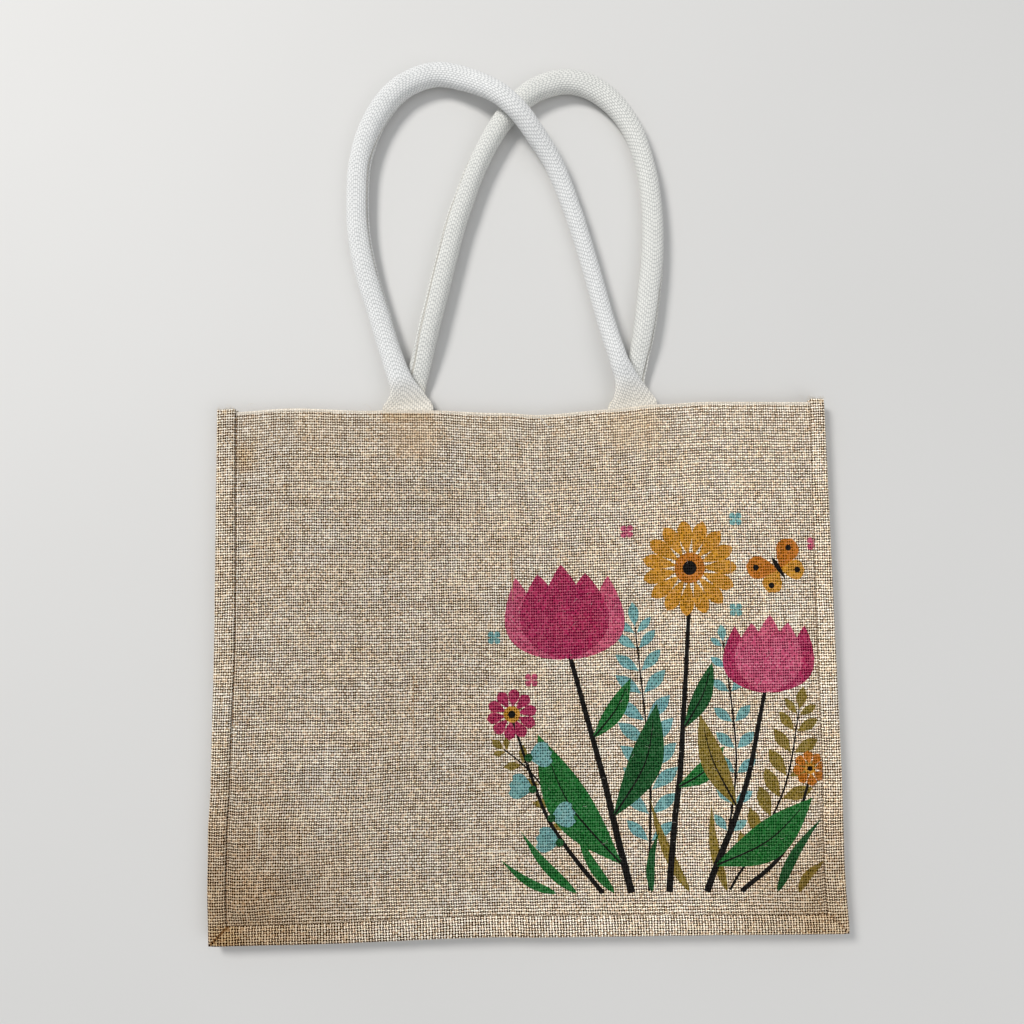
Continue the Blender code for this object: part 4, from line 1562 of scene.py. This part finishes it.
def top_fuzz(rng):
    """Short fibres that stand up along the mouth's edge."""
    for _ in range(TOP_FUZZ):
        u = rng.uniform(-214.0, 214.0)
        z = front_top(u, HEM_TOP) - rng.uniform(0.1, 2.4)
        heading = math.pi / 2 + rng.uniform(-1.1, 1.1)
        yield hair((*laid_place(u, HEM_TOP + 0.2), z), heading, rng.uniform(0.7, 2.3), 0.0, rng)


def edge_fuzz(rng):
    """Short fibres that stand out from the three bound edges."""
    for _ in range(EDGE_FUZZ):
        share = rng.uniform(0.0, 2 * BINDING_TOP + BAG_WIDTH)
        if share < BINDING_TOP:
            place, outward = (-HALF_WIDTH, share), math.pi
        elif share < 2 * BINDING_TOP:
            place, outward = (HALF_WIDTH, share - BINDING_TOP), 0.0
        else:
            place, outward = (share - 2 * BINDING_TOP - HALF_WIDTH, 0.0), -math.pi / 2
        z = rng.choice((rng.uniform(1.0, 5.0), rng.uniform(6.6, 11.2)))
        heading = outward + rng.uniform(-1.2, 1.2)
        yield hair((*laid_place(*place), z), heading, rng.uniform(0.6, 1.9), 0.0, rng)


def strip_end_fuzz(rng):
    """Frayed ends of the two upright strips at the mouth."""
    for hand in (-1, 1):
        for _ in range(STRIP_END_FUZZ):
            x, y = laid_place(hand * (HALF_WIDTH - rng.uniform(0.5, 12.5)), BINDING_TOP - 0.1)
            heading = math.pi / 2 + rng.uniform(-1.0, 1.0)
            z = rng.uniform(9.2, 11.6)
            length = rng.uniform(0.9, 3.4)
            yield hair((x, y, z), heading, length, rng.uniform(-0.3, 0.3), rng, 4)


def surface_fuzz(rng):
    """Short loose fibres lying on the front."""
    for _ in range(SURFACE_FUZZ):
        x, y = rng.uniform(-204.0, 206.0), rng.uniform(18.0, 364.0)
        heading = rng.uniform(0.0, 2 * math.pi)
        curl = rng.uniform(-0.35, 0.35)
        length = rng.uniform(1.6, 4.5)
        points = []
        for k in range(5):
            points.append(laid(x, y, front_top(x, y) + 0.12 + 0.10 * math.sin(math.pi * k / 4)))
            heading += curl
            x, y = turned(x, y, heading, length / 4)
        yield points


def slub_points(start, end, radius, rng):
    """A thick place of one yarn, half sunk in the cloth."""
    count = max(6, round(math.dist(start, end) / 2.0))
    for k in range(count + 1):
        x, y = mix(start[0], end[0], k / count), mix(start[1], end[1], k / count)
        x += rng.uniform(-0.12, 0.12)
        yield laid(x, y, front_top(x, y) - 0.45 * radius + rng.uniform(-0.12, 0.12))


def add_fibres(materials):
    rng = random.Random(FIBRE_SEED)
    for name, kinds, slot in (("mouth_fuzz", (top_fuzz,), "jute_front"),
                              ("edge_fuzz", (edge_fuzz, strip_end_fuzz), "jute_binding"),
                              ("front_fuzz", (surface_fuzz,), "jute_front")):
        strands = [(points, FUZZ_RADIUS) for kind in kinds for points in kind(rng)]
        strands_piece(name, strands, 3, materials["fibre"], slot)
    loose = [(hair(start, math.radians(heading), length, curl, rng, max(5, round(length))), HAIR_RADIUS)
             for start, heading, length, curl in LOOSE_HAIRS]
    strands_piece("loose_hairs", loose, 4, materials["fibre"], "jute_binding")
    for kind in ("slub", "fibre"):
        chosen = [(list(slub_points(start, end, radius, rng)), radius)
                  for start, end, radius, finish in SLUBS if finish == kind]
        strands_piece(kind + "_yarns", chosen, 6, materials[kind], "jute_front")
    stray = [laid(x, y, front_top(x, y) + 0.25) for x, y in curve_through(STRAY_THREAD, 1.0)]
    strands_piece("stray_thread", [(stray, STRAY_RADIUS)], 6, materials["white_thread"], "jute_front")


# Floor, lights and camera

CAMERA_PLACE = (-0.01003, -0.06860, 0.55987)
CAMERA_TURN = (0.082838, -0.004024, -0.016633)
CAMERA_LENS = 27.04
SENSOR = 36.0
FLOOR_REACH = 6.0
FLOOR_BELOW = 0.0004
FLOOR_COLOURS = ((0.66, 0.652, 0.634), (0.705, 0.697, 0.683))

# Lights that face the bag: name, place, size, power, colour
LIGHTS = (
    ("key_light", (-1.5, 1.5, 2.0), 0.9, 58.0, (1.0, 0.985, 0.96)),
    ("fill_light", (1.3, -0.9, 1.6), 1.6, 10.0, (1.0, 0.99, 0.98)),
)
SKY_COLOUR = (0.93, 0.96, 1.0, 1.0)
SKY_STRENGTH = 0.47


def add_camera():
    camera = bpy.data.cameras.new("camera")
    camera.lens = CAMERA_LENS
    camera.sensor_width = SENSOR
    camera.clip_start = 0.01
    held = add_object("camera", camera)
    held.location = CAMERA_PLACE
    held.rotation_euler = CAMERA_TURN
    bpy.context.scene.camera = held


def add_floor():
    def paint(graph):
        cloud = graph.noise(graph.frame_place(), 3.0, 3.0)
        return {"Base Color": graph.tint(cloud, *FLOOR_COLOURS), "Roughness": 0.75}
    corners = [(FLOOR_REACH * x, FLOOR_REACH * y, 0) for x, y in ((-1, -1), (1, -1), (1, 1), (-1, 1))]
    mesh = new_mesh("floor", corners, [(0, 1, 2, 3)])
    mesh.materials.append(new_material("pale_floor", paint))
    floor = add_object("floor", mesh)
    floor.location.z = -FLOOR_BELOW


def add_lights():
    for name, place, size, power, colour in LIGHTS:
        light = bpy.data.lights.new(name, "AREA")
        light.shape = "DISK"
        light.size = size
        light.energy = power
        light.color = colour
        held = add_object(name, light)
        held.location = place
        held.rotation_euler = (-Vector(place)).to_track_quat("-Z", "Y").to_euler()
    world = bpy.data.worlds.new("studio")
    world.use_nodes = True
    background = world.node_tree.nodes["Background"]
    background.inputs["Color"].default_value = SKY_COLOUR
    background.inputs["Strength"].default_value = SKY_STRENGTH
    bpy.context.scene.world = world
    bpy.context.scene.view_settings.view_transform = "Standard"


# The whole bag

THREAD_COLOURS = {
    "thread": ("jute_thread", (0.46, 0.33, 0.21)),
    "dark_thread": ("brown_thread", (0.55, 0.31, 0.15)),
    "fibre": ("pale_fibre", (0.88, 0.82, 0.71)),
    "slub": ("brown_yarn", (0.50, 0.30, 0.16)),
    "white_thread": ("white_thread", (0.90, 0.89, 0.85)),
}


def make_materials():
    weave_group()
    painted_light_and_tone_group()
    made = {
        "front": jute_material("jute_front", marks=(stained, rimmed)),
        "inside": jute_material("jute_inside", seed=3.0, tint=(0.86, 0.80, 0.72)),
        "back": jute_material("jute_back", seed=11.0),
        "binding": jute_material("jute_binding", seed=23.0, tint=(1.08, 1.08, 1.07),
                                 marks=(stained, mitred)),
        "gusset": jute_material("jute_gusset", seed=31.0, tint=(0.92, 0.86, 0.78)),
        "webbing": webbing_material("cotton_webbing"),
        # The back handle's webbing, a little darker in painted shade and a little yellower
        "webbing_back": webbing_material("cotton_webbing_back", (0.97, 0.965, 0.93)),
    }
    for key, (name, colour) in THREAD_COLOURS.items():
        made[key] = thread_material(name, colour)
    return made


def main():
    add_camera()
    made = make_materials()
    inks = [jute_material("ink_" + name, ink_stops(colour, light)) for name, (colour, light) in INKS.items()]
    panel_piece("front_cloth", "front_panel", "jute_front", printed_meadow(),
                [made["front"], *inks, made["inside"]], front_middle, -1)
    panel_piece("back_cloth", "back_panel", "jute_back", [], [made["back"], made["inside"]], back_middle, 1)
    add_bindings(made["binding"])
    handle_piece("back_handle_webbing", "handle_back", BACK_ROUTE, 0.0, BACK_SEAM, made["webbing_back"])
    handle_piece("front_handle_webbing", "handle_front", FRONT_ROUTE, CROSSING_LIFT, FRONT_SEAM,
                 made["webbing"])
    add_stitches(made)
    add_fibres(made)
    add_gussets(made["gusset"])
    add_floor()
    add_lights()


main()
